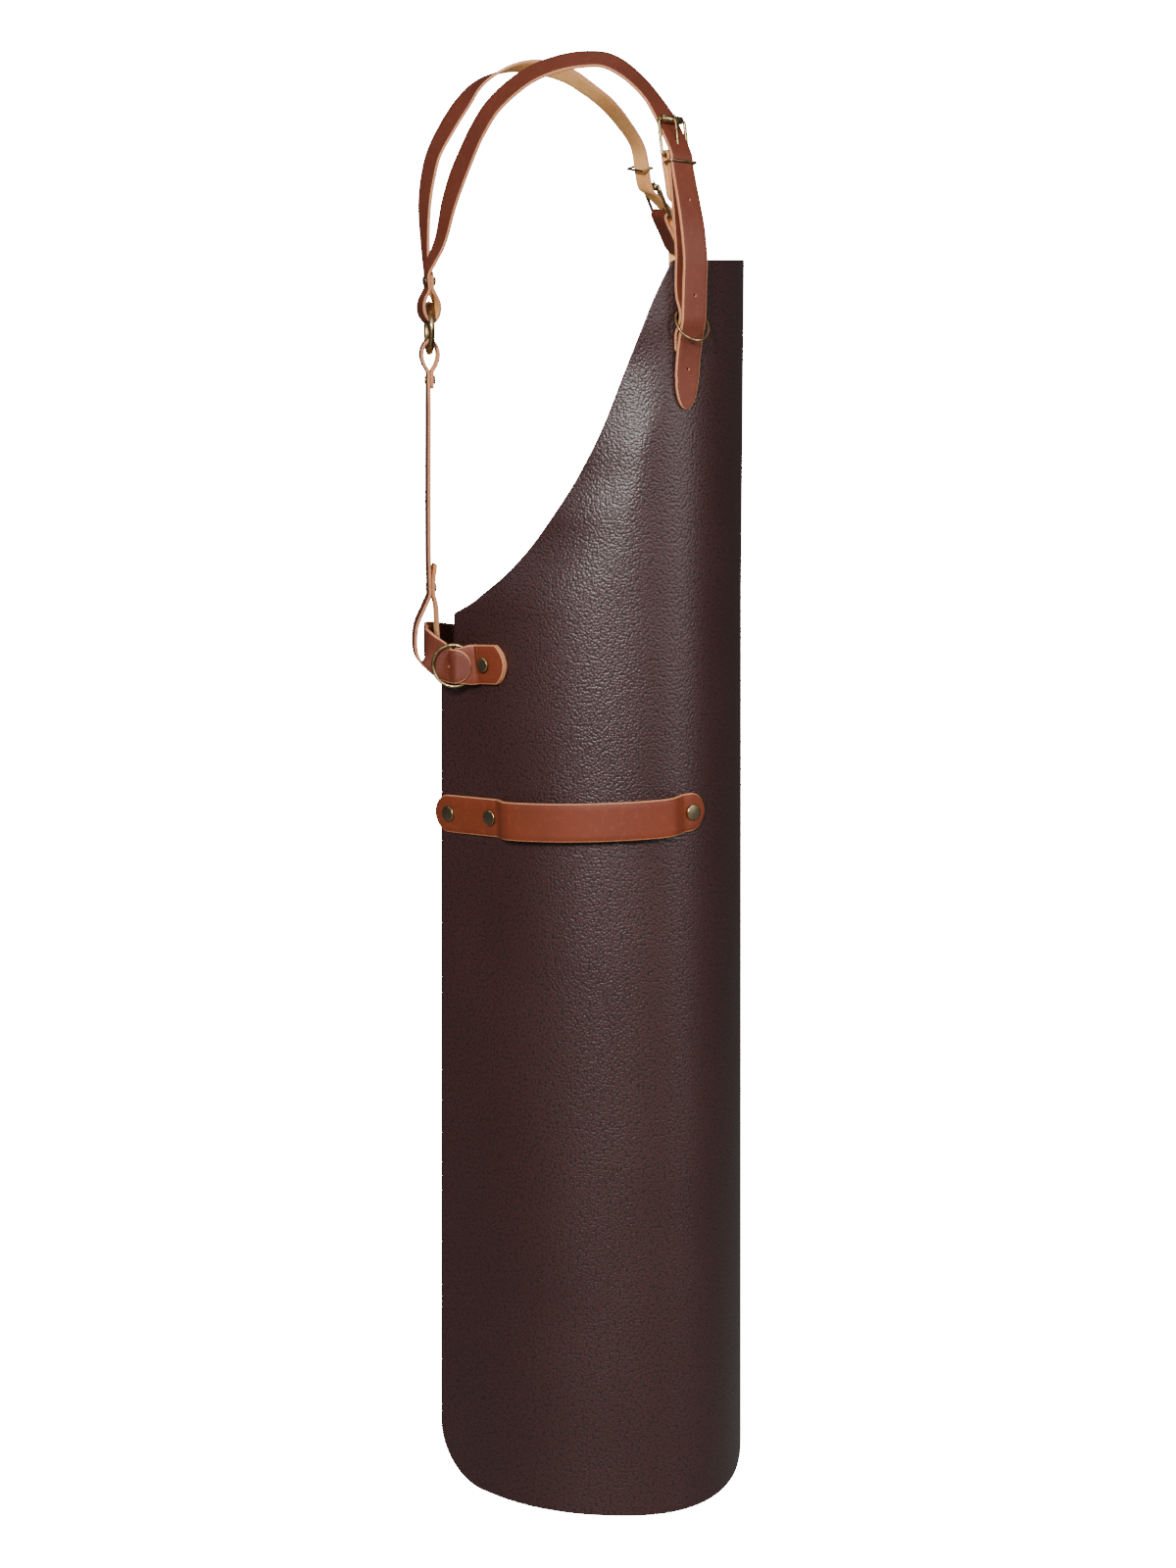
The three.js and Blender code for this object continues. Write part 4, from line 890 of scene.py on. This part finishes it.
belt_back = (Vector((0, belt_back_reach, bib_top - belt_back_drop)), Vector((0, 1, 0)), None)
belt_stations = [*belt_half(-1), belt_back, *reversed(belt_half(1))]
mesh = strap_mesh("waist_belt", belt_stations, belt_width, belt_thickness, belt_end, belt_end)
belt = piece_from("waist_belt_leather", mesh, [
    strap_sides[0], flesh_side("burnished_belt_back", "#6b3a26", "#56301f"), strap_sides[2],
])
punch(belt, belt_stations, belt_width, belt_end, belt_end, (awl_mark, -awl_mark))
join_frame(belt, "waist_belt")


# Back ring
# A thick cast ring with an antique finish joins both shoulder straps and the back strap.

back_ring_radius = 17.75
back_ring_wire = 2.25
back_ring_reach = 121.2
back_ring_drop = 50.5
back_ring_twist = radians(13)
back_ring_centre = Vector((0, back_ring_reach, bib_top - back_ring_drop))
across_ring = Vector((cos(back_ring_twist), sin(back_ring_twist), 0))
add_ring("back_ring", back_ring_centre, Vector((sin(back_ring_twist), -cos(back_ring_twist), 0)),
         back_ring_radius, back_ring_wire)


# Shoulder straps
# Each strap loops round the back ring, is held there by a small rivet, runs over the shoulder,
# passes its buckle and hangs down as a punched tail over the bib. Chestnut grain, tan flesh side.

strap_width = 20
strap_thickness = 2.4
strap_tip_radius = 7
square_end = 3
tail_end = (23, 9.6)
tail_holes = (-28, -80, -148)
strap_rivet_radius = 3.3
hide_stand_off = clearance + strap_thickness / 2
loop_half = 6.25
loop_depth = 10
loop_pinch = 20.5
loop_strap_width = 11
loop_twist = radians(25)
loop_spread = radians(30)
loop_lean = radians(18)
ply_gap = strap_thickness + clearance
buckle_inner_width = 21.6
buckle_half_height = 13.3
buckle_wire = 1.3
roller_radius = 2.8
roller_wall = 1.1
roller_length = 18.6
prong_wire = 0.9
keeper_wire = 0.9
fold_ply_length = 33
keeper_slack = 3.2
bib_ring_radius = 13.3
bib_ring_wire = 0.95
bib_ring_drop = 44
bib_ring_tilt = radians(32)
upper_rivet_drop = 14
lower_rivet_drop = 56
tail_tip_drop = 104
shoulder_rise = 166

# A loop round a wire. out is along the strap, below zero a share of the loop's depth;
# ply counts half gaps between the plies and open half widths of the open loop.
ring_loop = [
    {"out": 27, "ply": -0.5, "open": 0},
    {"out": 21, "ply": -0.5, "open": 0},
    {"out": 15, "ply": -0.5, "open": 0},
    {"out": 8.5, "ply": 0, "open": -0.75},
    {"out": 2, "ply": 0, "open": -1},
    {"out": -0.55, "ply": 0, "open": -0.72},
    {"out": -1, "ply": 0, "open": 0},
    {"out": -0.55, "ply": 0, "open": 0.72},
    {"out": 2, "ply": 0, "open": 1},
    {"out": 8.5, "ply": 0, "open": 0.75},
    {"out": 15, "ply": 0.5, "open": 0},
    {"out": 21, "ply": 0.5, "open": 0},
    {"out": 27, "ply": 0.5, "open": 0},
]

# Routes: forward and rise are shares of the way from the back ring to the buckle and of the
# strap's height over the ring, out is the share of the way from the ring's middle
shoulder_layouts = [
    {
        "name": "right", "side": -1, "rise": shoulder_rise - 1.1, "buckle_up": 84,
        "buckle_in": 19.1, "buckle_back": 9.8, "bib_reach": 140, "bib_lean": 0,
        "keeper_at": -18.8, "ring_lift": 1, "facing": (-0.69, -0.68, 0.25),
        "route": [
            {"forward": 0.067, "rise": 0.228, "out": 0.23, "face": (-0.62, 0.77, 0.12)},
            {"forward": 0.108, "rise": 0.39, "out": 0.3, "face": (-0.66, 0.73, 0.15)},
            {"forward": 0.145, "rise": 0.5, "out": 0.36, "face": (-0.68, 0.7, 0.2)},
            {"forward": 0.189, "rise": 0.605, "out": 0.42, "face": (-0.68, 0.66, 0.3)},
            {"forward": 0.241, "rise": 0.713, "out": 0.49, "face": (-0.66, 0.6, 0.42)},
            {"forward": 0.312, "rise": 0.82, "out": 0.55, "face": (-0.64, 0.46, 0.58)},
            {"forward": 0.445, "rise": 0.933, "out": 0.62, "face": (-0.62, 0.22, 0.74)},
            {"forward": 0.556, "rise": 0.981, "out": 0.66, "face": (-0.6, 0.07, 0.79)},
            {"forward": 0.655, "rise": 1, "out": 0.69, "face": (-0.6, -0.04, 0.8)},
            {"forward": 0.757, "rise": 0.994, "out": 0.735, "face": (-0.57, -0.2, 0.79)},
            {"forward": 0.853, "rise": 0.933, "out": 0.815, "face": (-0.48, -0.44, 0.76)},
            {"forward": 0.944, "rise": 0.831, "out": 0.91, "face": (-0.44, -0.62, 0.65)},
        ],
    },
    {
        "name": "left", "side": 1, "rise": shoulder_rise + 2.6, "buckle_up": 45,
        "buckle_in": 22, "buckle_back": 17, "bib_reach": 151, "bib_lean": -7,
        "keeper_at": None, "ring_lift": 1.22, "facing": (0.5, -0.76, 0.32),
        "route": [
            {"forward": -0.028, "rise": 0.224, "out": 0.236, "face": (-0.5, 0.86, 0)},
            {"forward": -0.033, "rise": 0.388, "out": 0.31, "face": (-0.6, 0.8, 0)},
            {"forward": -0.021, "rise": 0.501, "out": 0.36, "face": (-0.62, 0.78, 0.12)},
            {"forward": 0.004, "rise": 0.609, "out": 0.415, "face": (-0.62, 0.73, 0.28)},
            {"forward": 0.064, "rise": 0.722, "out": 0.46, "face": (-0.66, 0.6, 0.44)},
            {"forward": 0.14, "rise": 0.835, "out": 0.51, "face": (-0.62, 0.5, 0.6)},
            {"forward": 0.218, "rise": 0.921, "out": 0.54, "face": (-0.36, 0.5, 0.78)},
            {"forward": 0.34, "rise": 0.982, "out": 0.57, "face": (0.02, 0.3, 0.95)},
            {"forward": 0.448, "rise": 1, "out": 0.6, "face": (0.36, 0, 0.93)},
            {"forward": 0.542, "rise": 0.992, "out": 0.632, "face": (0.52, -0.18, 0.83)},
            {"forward": 0.641, "rise": 0.963, "out": 0.67, "face": (0.55, -0.32, 0.76)},
            {"forward": 0.733, "rise": 0.91, "out": 0.736, "face": (0.5, -0.42, 0.74)},
            {"forward": 0.827, "rise": 0.843, "out": 0.81, "face": (0.5, -0.48, 0.7)},
            {"forward": 0.911, "rise": 0.753, "out": 0.887, "face": (0.44, -0.58, 0.68)},
            {"forward": 0.977, "rise": 0.654, "out": 0.953, "face": (0.4, -0.66, 0.62)},
        ],
    },
]

# How far the tail stands off the panel at each depth under the bib's top
tail = [
    {"down": -0.23, "off": 6.1},
    {"down": -0.07, "off": 9.2},
    {"down": 0.01, "off": 10.1},
    {"down": 0.16, "off": 9.4},
    {"down": 0.32, "off": 8.8},
    {"down": 0.4, "off": 8.4},
    {"down": 0.5, "off": 5.4},
    {"down": 0.64, "off": 2.3},
    {"down": 0.8, "off": 0.6},
    {"down": 1, "off": 0},
]

# The bib strap lies flat on the panel at its rivets and lifts over the bib ring
bib_strap_lift = [
    {"down": -0.06, "off": 0.2},
    {"down": 0.02, "off": 0.3},
    {"down": 0.12, "off": 0},
    {"down": 0.3, "off": 0},
    {"down": 0.42, "off": 1.3},
    {"down": 0.5, "off": 3.8},
    {"down": 0.57, "off": 5.5},
    {"down": 0.66, "off": 5},
    {"down": 0.75, "off": 1.7},
    {"down": 0.81, "off": 0},
    {"down": 0.9, "off": 0},
    {"down": 1, "off": 0},
]


def loop_stations(wire_at, direction, rear, width, depth):
    """Round a wire and back along itself."""
    places = []
    for row in ring_loop:
        out = row["out"] * depth if row["out"] < 0 else row["out"]
        places.append(wire_at + direction * out
                      + rear * (row["ply"] * ply_gap + row["open"] * loop_half))
    across = direction.cross(rear).normalized()
    stations = []
    for i, place in enumerate(places):
        tangent = (places[min(len(places) - 1, i + 1)] - places[max(0, i - 1)]).normalized()
        stations.append((place, across.cross(tangent).normalized(), width))
    return stations


def buckle_frame(layout):
    """The buckle's middle and axes: across the strap, up it and out of it."""
    side = layout["side"]
    foot = on_panel(side, layout["bib_reach"], 0, 0)
    centre = foot + Vector((-side * layout["buckle_in"], layout["buckle_back"], layout["buckle_up"]))
    up = (centre - foot).normalized()
    facing = Vector(layout["facing"])
    out = (facing - up * facing.dot(up)).normalized()
    across = up.cross(out).normalized()

    def to_world(x, y, z):
        return centre + across * x + up * y + out * z

    return across, up, out, to_world


def line_at(layout, drop):
    return layout["bib_reach"] + layout["bib_lean"] * min(1, max(0, drop / lower_rivet_drop))


heel = -buckle_half_height
fold_lift = buckle_wire + clearance * 1.7 + strap_thickness / 2
front_lift = fold_lift + strap_thickness + clearance


def stations_on_panel(layout, rows, length):
    """Stations down the front of the bib, where each row stands off by its own amount."""
    found = []
    for row in rows:
        drop = row["down"] * length
        reach = line_at(layout, drop)
        off = hide_stand_off + row["off"] * layout["ring_lift"]
        _, _, outward = panel_frame(layout["side"], reach, drop)
        found.append((on_panel(layout["side"], reach, drop, off), outward, None))
    return found


loop_rear = Vector((-sin(loop_twist), cos(loop_twist), 0))


def ring_contact(side):
    """Where a shoulder strap's loop goes round the back ring's wire."""
    lifted = across_ring * (side * sin(loop_spread)) + Vector((0, 0, cos(loop_spread)))
    return back_ring_centre + lifted * back_ring_radius


def shoulder_stations(layout):
    side = layout["side"]
    _, _, out, to_world = buckle_frame(layout)
    wire_at = ring_contact(side)
    direction = Vector((side * sin(loop_lean), 0, cos(loop_lean)))
    stations = loop_stations(wire_at, direction, loop_rear, loop_strap_width, loop_depth)
    entry = to_world(0, buckle_half_height + 9, -fold_lift - 1.3)
    start_y, start_z = back_ring_reach + 0.8, back_ring_centre.z + 25.8
    for i, row in enumerate(layout["route"]):
        width = mix(loop_strap_width, strap_width, min(1, (i + 1) / 2.5))
        stations.append((Vector((entry.x * row["out"], mix(start_y, entry.y, row["forward"]),
                                 start_z + row["rise"] * layout["rise"])),
                         Vector(row["face"]).normalized(), width))
    for y, z in (
        (buckle_half_height, -roller_radius - clearance - strap_thickness / 2 - 0.6),
        (buckle_half_height - 7, -1.8),
        (heel + 7, 3.6),
        (heel, front_lift + 0.4),
        (heel - 8, front_lift + 0.5),
    ):
        stations.append((to_world(0, y, z), out.copy(), None))
    return stations + stations_on_panel(layout, tail, tail_tip_drop)


def loop_rivet_place(layout):
    side = layout["side"]
    return ring_contact(side) + Vector((side * sin(loop_lean), 0, cos(loop_lean))) * loop_pinch


for layout in shoulder_layouts:
    name = layout["name"]
    stations = shoulder_stations(layout)
    mesh = strap_mesh(f"shoulder_strap_{name}", stations, strap_width, strap_thickness,
                      square_end, tail_end)
    shoulder = piece_from(f"shoulder_strap_{name}_leather", mesh, strap_sides)
    punch(shoulder, stations, strap_width, square_end, tail_end, tail_holes)
    join_frame(shoulder, f"shoulder_strap_{name}")
    ply = ply_gap / 2 + strap_thickness / 2 + clearance * 2
    add_rivet(f"shoulder_rivet_{name}", strap_rivet_radius, 0.7, ply, -ply,
              loop_rivet_place(layout), loop_rear)


# Bib straps, with their rivets and rings
# A short strap is folded round each buckle's heel bar and riveted to the bib at its corner.
# The thin ring under it keeps the tail of the shoulder strap in place.

for layout in shoulder_layouts:
    name, side = layout["name"], layout["side"]
    _, up, out, to_world = buckle_frame(layout)
    stations = [
        (to_world(0, heel - fold_ply_length, -fold_lift + 1.3), -out, None),
        (to_world(0, heel - fold_ply_length * 0.5, -fold_lift + 0.9), -out, None),
        (to_world(0, heel - 4, -fold_lift), -out, None),
    ]
    for degrees in (-60, -20, 20, 60):
        turn = radians(degrees)
        stations.append((to_world(0, heel + fold_lift * cos(turn), fold_lift * sin(turn)),
                         out * sin(turn) + up * cos(turn), None))
    stations.append((to_world(0, heel - 4, fold_lift), out.copy(), None))
    stations.append((to_world(0, heel - fold_ply_length * 0.6, fold_lift), out.copy(), None))
    stations += stations_on_panel(layout, bib_strap_lift, lower_rivet_drop + 8)
    mesh = strap_mesh(f"bib_strap_{name}", stations, strap_width, strap_thickness,
                      strap_tip_radius, square_end)
    bib_strap = piece_from(f"bib_strap_{name}_leather", mesh, strap_sides)
    join_frame(bib_strap, f"bib_strap_{name}")

    reach = line_at(layout, bib_ring_drop)
    _, _, outward = panel_frame(side, reach, bib_ring_drop)
    ring_face = outward * cos(bib_ring_tilt) + Vector((0, 0, sin(bib_ring_tilt)))
    add_ring(f"bib_ring_{name}", on_panel(side, reach, bib_ring_drop, 8.3), ring_face.normalized(),
             bib_ring_radius, bib_ring_wire)
    for level, drop in (("upper", upper_rivet_drop), ("lower", lower_rivet_drop)):
        reach = line_at(layout, drop)
        _, _, outward = panel_frame(side, reach, drop)
        add_rivet(f"bib_rivet_{level}_{name}", strap_rivet_radius, 0.9,
                  clearance * 2 + strap_thickness, -panel_thickness - bend_allowance,
                  on_panel(side, reach, drop, 0), outward)


# Buckles and keepers
# A bent wire frame with a rolled sheet roller on its top bar and a wire prong on its heel bar.
# A wire keeper holds the strap and its tail together under the right buckle; the left one goes round the
# strap above its buckle.


def wire_loop(half_width, low, high, corner, to_world):
    """Points round a rectangle with rounded corners."""
    path = []
    middle = (low + high) / 2
    for sign, edge, start in ((1, high, 0), (-1, high, 90), (-1, low, 180), (1, low, 270)):
        centre_x = sign * (half_width - corner)
        centre_y = edge - corner if edge > middle else edge + corner
        for i in range(9):
            angle = radians(start + i / 8 * 90)
            path.append(to_world(centre_x + corner * cos(angle), centre_y + corner * sin(angle), 0))
    return path


for layout in shoulder_layouts:
    name = layout["name"]
    _, _, _, to_world = buckle_frame(layout)
    frame_half = buckle_inner_width / 2 + buckle_wire
    frame_corner = frame_half - roller_length / 2 - clearance
    path = wire_loop(frame_half, heel, buckle_half_height, frame_corner, to_world)
    buckle = piece_from(f"buckle_frame_{name}_brass",
                        wire_mesh("buckle_frame", path, [buckle_wire] * len(path), True), [brass])
    join_frame(buckle, f"buckle_frame_{name}")

    places, faces = [], []
    sides = 32
    half = roller_length / 2
    soft = 0.3
    tube = [(roller_radius - roller_wall, -half), (roller_radius - soft, -half),
            (roller_radius, soft - half), (roller_radius, half - soft),
            (roller_radius - soft, half), (roller_radius - roller_wall, half)]
    for radius, x in tube:
        for s in range(sides):
            angle = 2 * pi * s / sides
            places.append(to_world(x, buckle_half_height + radius * cos(angle), radius * sin(angle)) * mm)
    for r in range(len(tube)):
        for s in range(sides):
            t = (s + 1) % sides
            q = (r + 1) % len(tube)
            faces.append((r * sides + s, q * sides + s, q * sides + t, r * sides + t))
    roller = piece_from(f"buckle_roller_{name}_brass", new_mesh("buckle_roller", places, faces), [brass])
    join_frame(roller, f"buckle_roller_{name}")

    eye = buckle_wire + clearance + prong_wire
    tip = roller_radius + clearance + prong_wire
    bends = [Vector((0, heel - eye * cos(radians(a)), -eye * sin(radians(a))))
             for a in (80, 40, 0, -40, -80)]
    bends += [Vector((0, heel + 5, eye + 1.2)), Vector((0, buckle_half_height - 3, tip)),
              Vector((0, buckle_half_height + 3, tip - 0.4))]
    path = [to_world(*place) for place, _ in curve_through(bends, 8)]
    radii = [prong_wire * min(1, 0.55 + (len(path) - 1 - i) / 12) for i in range(len(path))]
    prong = piece_from(f"buckle_prong_{name}_brass", wire_mesh("buckle_prong", path, radii, False),
                       [brass])
    join_frame(prong, f"buckle_prong_{name}")

    keeper_half = strap_width / 2 + clearance * 3 + keeper_wire
    if layout["keeper_at"]:
        path = wire_loop(keeper_half, clearance * 1.5, front_lift + keeper_slack, 2,
                         lambda x, y, z: to_world(x, layout["keeper_at"] + z, y))
    else:
        places = shoulder_stations(layout)
        last = len(ring_loop) + len(layout["route"]) - 1
        face = places[last][1]
        place = places[last][0].lerp(places[last + 1][0], 0.5)
        run = (places[last + 1][0] - places[last][0]).normalized()
        wide = run.cross(face).normalized()
        thick_way = wide.cross(run)
        seat = strap_thickness / 2 + clearance * 3 + keeper_wire
        path = wire_loop(keeper_half, -seat - keeper_slack, seat, 2,
                         lambda x, y, z: place + wide * x + thick_way * y + run * z)
    keeper = piece_from(f"keeper_{name}_brass",
                        wire_mesh("keeper", path, [keeper_wire] * len(path), True), [brass])
    join_frame(keeper, f"keeper_{name}")


# Back strap
# One strap hangs from the back ring down to the belt, with a riveted loop at each end.

back_strap_width = 20
back_loop_width = 14
back_loop_depth = 9.3
rear = Vector((0, 1, 0))
wire_at = back_ring_centre - Vector((0, 0, back_ring_radius))
belt_edge = bib_top - belt_back_drop - belt_width / 2
belt_top = belt_edge + belt_width
inner = belt_back_reach - belt_thickness / 2 - strap_thickness / 2 - clearance
outer = belt_back_reach + belt_thickness / 2 + strap_thickness / 2 + clearance
run_top = wire_at.z - 40
pinch = belt_top + 26
seam = back_ring_reach + ply_gap * 0.5
stations = loop_stations(wire_at, Vector((0, 0, -1)), rear, back_loop_width, back_loop_depth)[:-1]
for row in (
    {"y": seam, "z": run_top, "face": (0, 1, 0)},
    {"y": seam + 0.8, "z": mix(run_top, pinch, 0.5), "face": (0, 1, 0)},
    {"y": seam + 1, "z": pinch + 25, "face": (0, 1, 0)},
    {"y": seam + 0.6, "z": pinch, "face": (0, 1, 0)},
    {"y": seam + 0.7, "z": pinch - 5, "face": (0, 1, 0)},
    {"y": seam + 4.5, "z": pinch - 14, "face": (0, 0.94, 0.3)},
    {"y": outer + 6, "z": belt_top - 4, "face": (0, 1, 0.1)},
    {"y": outer + 5.4, "z": belt_edge - 1, "face": (0, 1, -0.2)},
    {"y": mix(inner, outer, 0.6), "z": belt_edge - 9, "face": (0, 0.1, -1)},
    {"y": inner - 4.6, "z": belt_edge - 1, "face": (0, -1, -0.4)},
    {"y": inner - 4.6, "z": belt_top - 6, "face": (0, -1, 0.1)},
    {"y": seam - ply_gap - 1.4, "z": pinch - 13, "face": (0, -0.95, 0.3)},
    {"y": seam - ply_gap + 0.5, "z": pinch - 5, "face": (0, -1, 0)},
    {"y": seam - ply_gap + 0.6, "z": pinch, "face": (0, -1, 0)},
    {"y": seam - ply_gap + 0.5, "z": pinch + 6, "face": (0, -1, 0)},
    {"y": seam - ply_gap - 1.2, "z": pinch + 18, "face": (0, -1, 0)},
):
    stations.append((Vector((0, row["y"], row["z"])), Vector(row["face"]), None))
# The whole strap hangs square to the back ring, so it's turned with it
square_on = Matrix.Rotation(back_ring_twist, 3, "Z")


def squared(place):
    return square_on @ (place - back_ring_centre) + back_ring_centre


stations = [(squared(place), square_on @ face, width) for place, face, width in stations]
mesh = strap_mesh("back_strap", stations, back_strap_width, strap_thickness,
                  square_end, square_end)
back_strap = piece_from("back_strap_leather", mesh, strap_sides)
join_frame(back_strap, "back_strap")
plies = ply_gap / 2 + strap_thickness / 2 + clearance
add_rivet("back_strap_rivet_upper", strap_rivet_radius, 0.7, plies, -plies,
          squared(Vector((0, back_ring_reach, wire_at.z - loop_pinch))), square_on @ rear)
add_rivet("back_strap_rivet_lower", strap_rivet_radius, 0.7, plies, -plies,
          squared(Vector((0, seam + 0.6 - ply_gap / 2, pinch))), square_on @ rear)


# Towel band
# A cognac band is riveted flat at both ends and stands off between its rivets, so that a towel
# can be tucked behind it. Both its ends are cut round.

band_width = 28
band_thickness = 2.4
band_stand_off = 10
band_front_reach = 111
band_back_reach = 334.5
band_front_drop = 392
band_slope = 0.0575
band_front_rivet = 122.5
band_middle_rivet = 277.4
band_back_rivet = 320.3
band_step = 15
band_end = (14, 14)


def band_drop_at(reach):
    return band_front_drop + (reach - band_front_reach) * band_slope


def band_stations():
    low = clearance * 2 + band_thickness / 2
    high = band_stand_off
    rear_step = band_middle_rivet - rivet_cap_radius - 1
    front_step = band_front_rivet + rivet_cap_radius + 1
    rows = [
        (band_back_reach, low), (band_back_rivet, low),
        (mix(band_back_rivet, band_middle_rivet, 0.5), low), (band_middle_rivet, low),
        (rear_step, low), (rear_step - band_step * 0.35, mix(low, high, 0.35)),
        (rear_step - band_step * 0.7, mix(low, high, 0.8)), (rear_step - band_step * 1.1, high),
    ]
    plain_steps = 7
    for i in range(1, plain_steps):
        rows.append((mix(rear_step - band_step * 1.1, front_step + band_step * 1.1, i / plain_steps),
                     high))
    rows += [
        (front_step + band_step * 1.1, high), (front_step + band_step * 0.7, mix(low, high, 0.8)),
        (front_step + band_step * 0.35, mix(low, high, 0.35)), (front_step, low),
        (band_front_rivet, low), (band_front_reach, low),
    ]
    stations = []
    for reach, off in rows:
        drop = band_drop_at(reach)
        stations.append((on_panel(-1, reach, drop, off), panel_frame(-1, reach, drop)[2], None))
    return stations


mesh = strap_mesh("towel_band", band_stations(), band_width, band_thickness, band_end, band_end)
band = piece_from("towel_band_leather", mesh, cognac_sides)
join_frame(band, "towel_band")
for name, reach in (("back", band_back_rivet), ("middle", band_middle_rivet),
                    ("front", band_front_rivet)):
    add_rivet(f"band_rivet_{name}", rivet_cap_radius, rivet_cap_height,
              clearance * 2 + band_thickness, -panel_thickness - bend_allowance,
              on_panel(-1, reach, band_drop_at(reach), 0),
              panel_frame(-1, reach, band_drop_at(reach))[2])
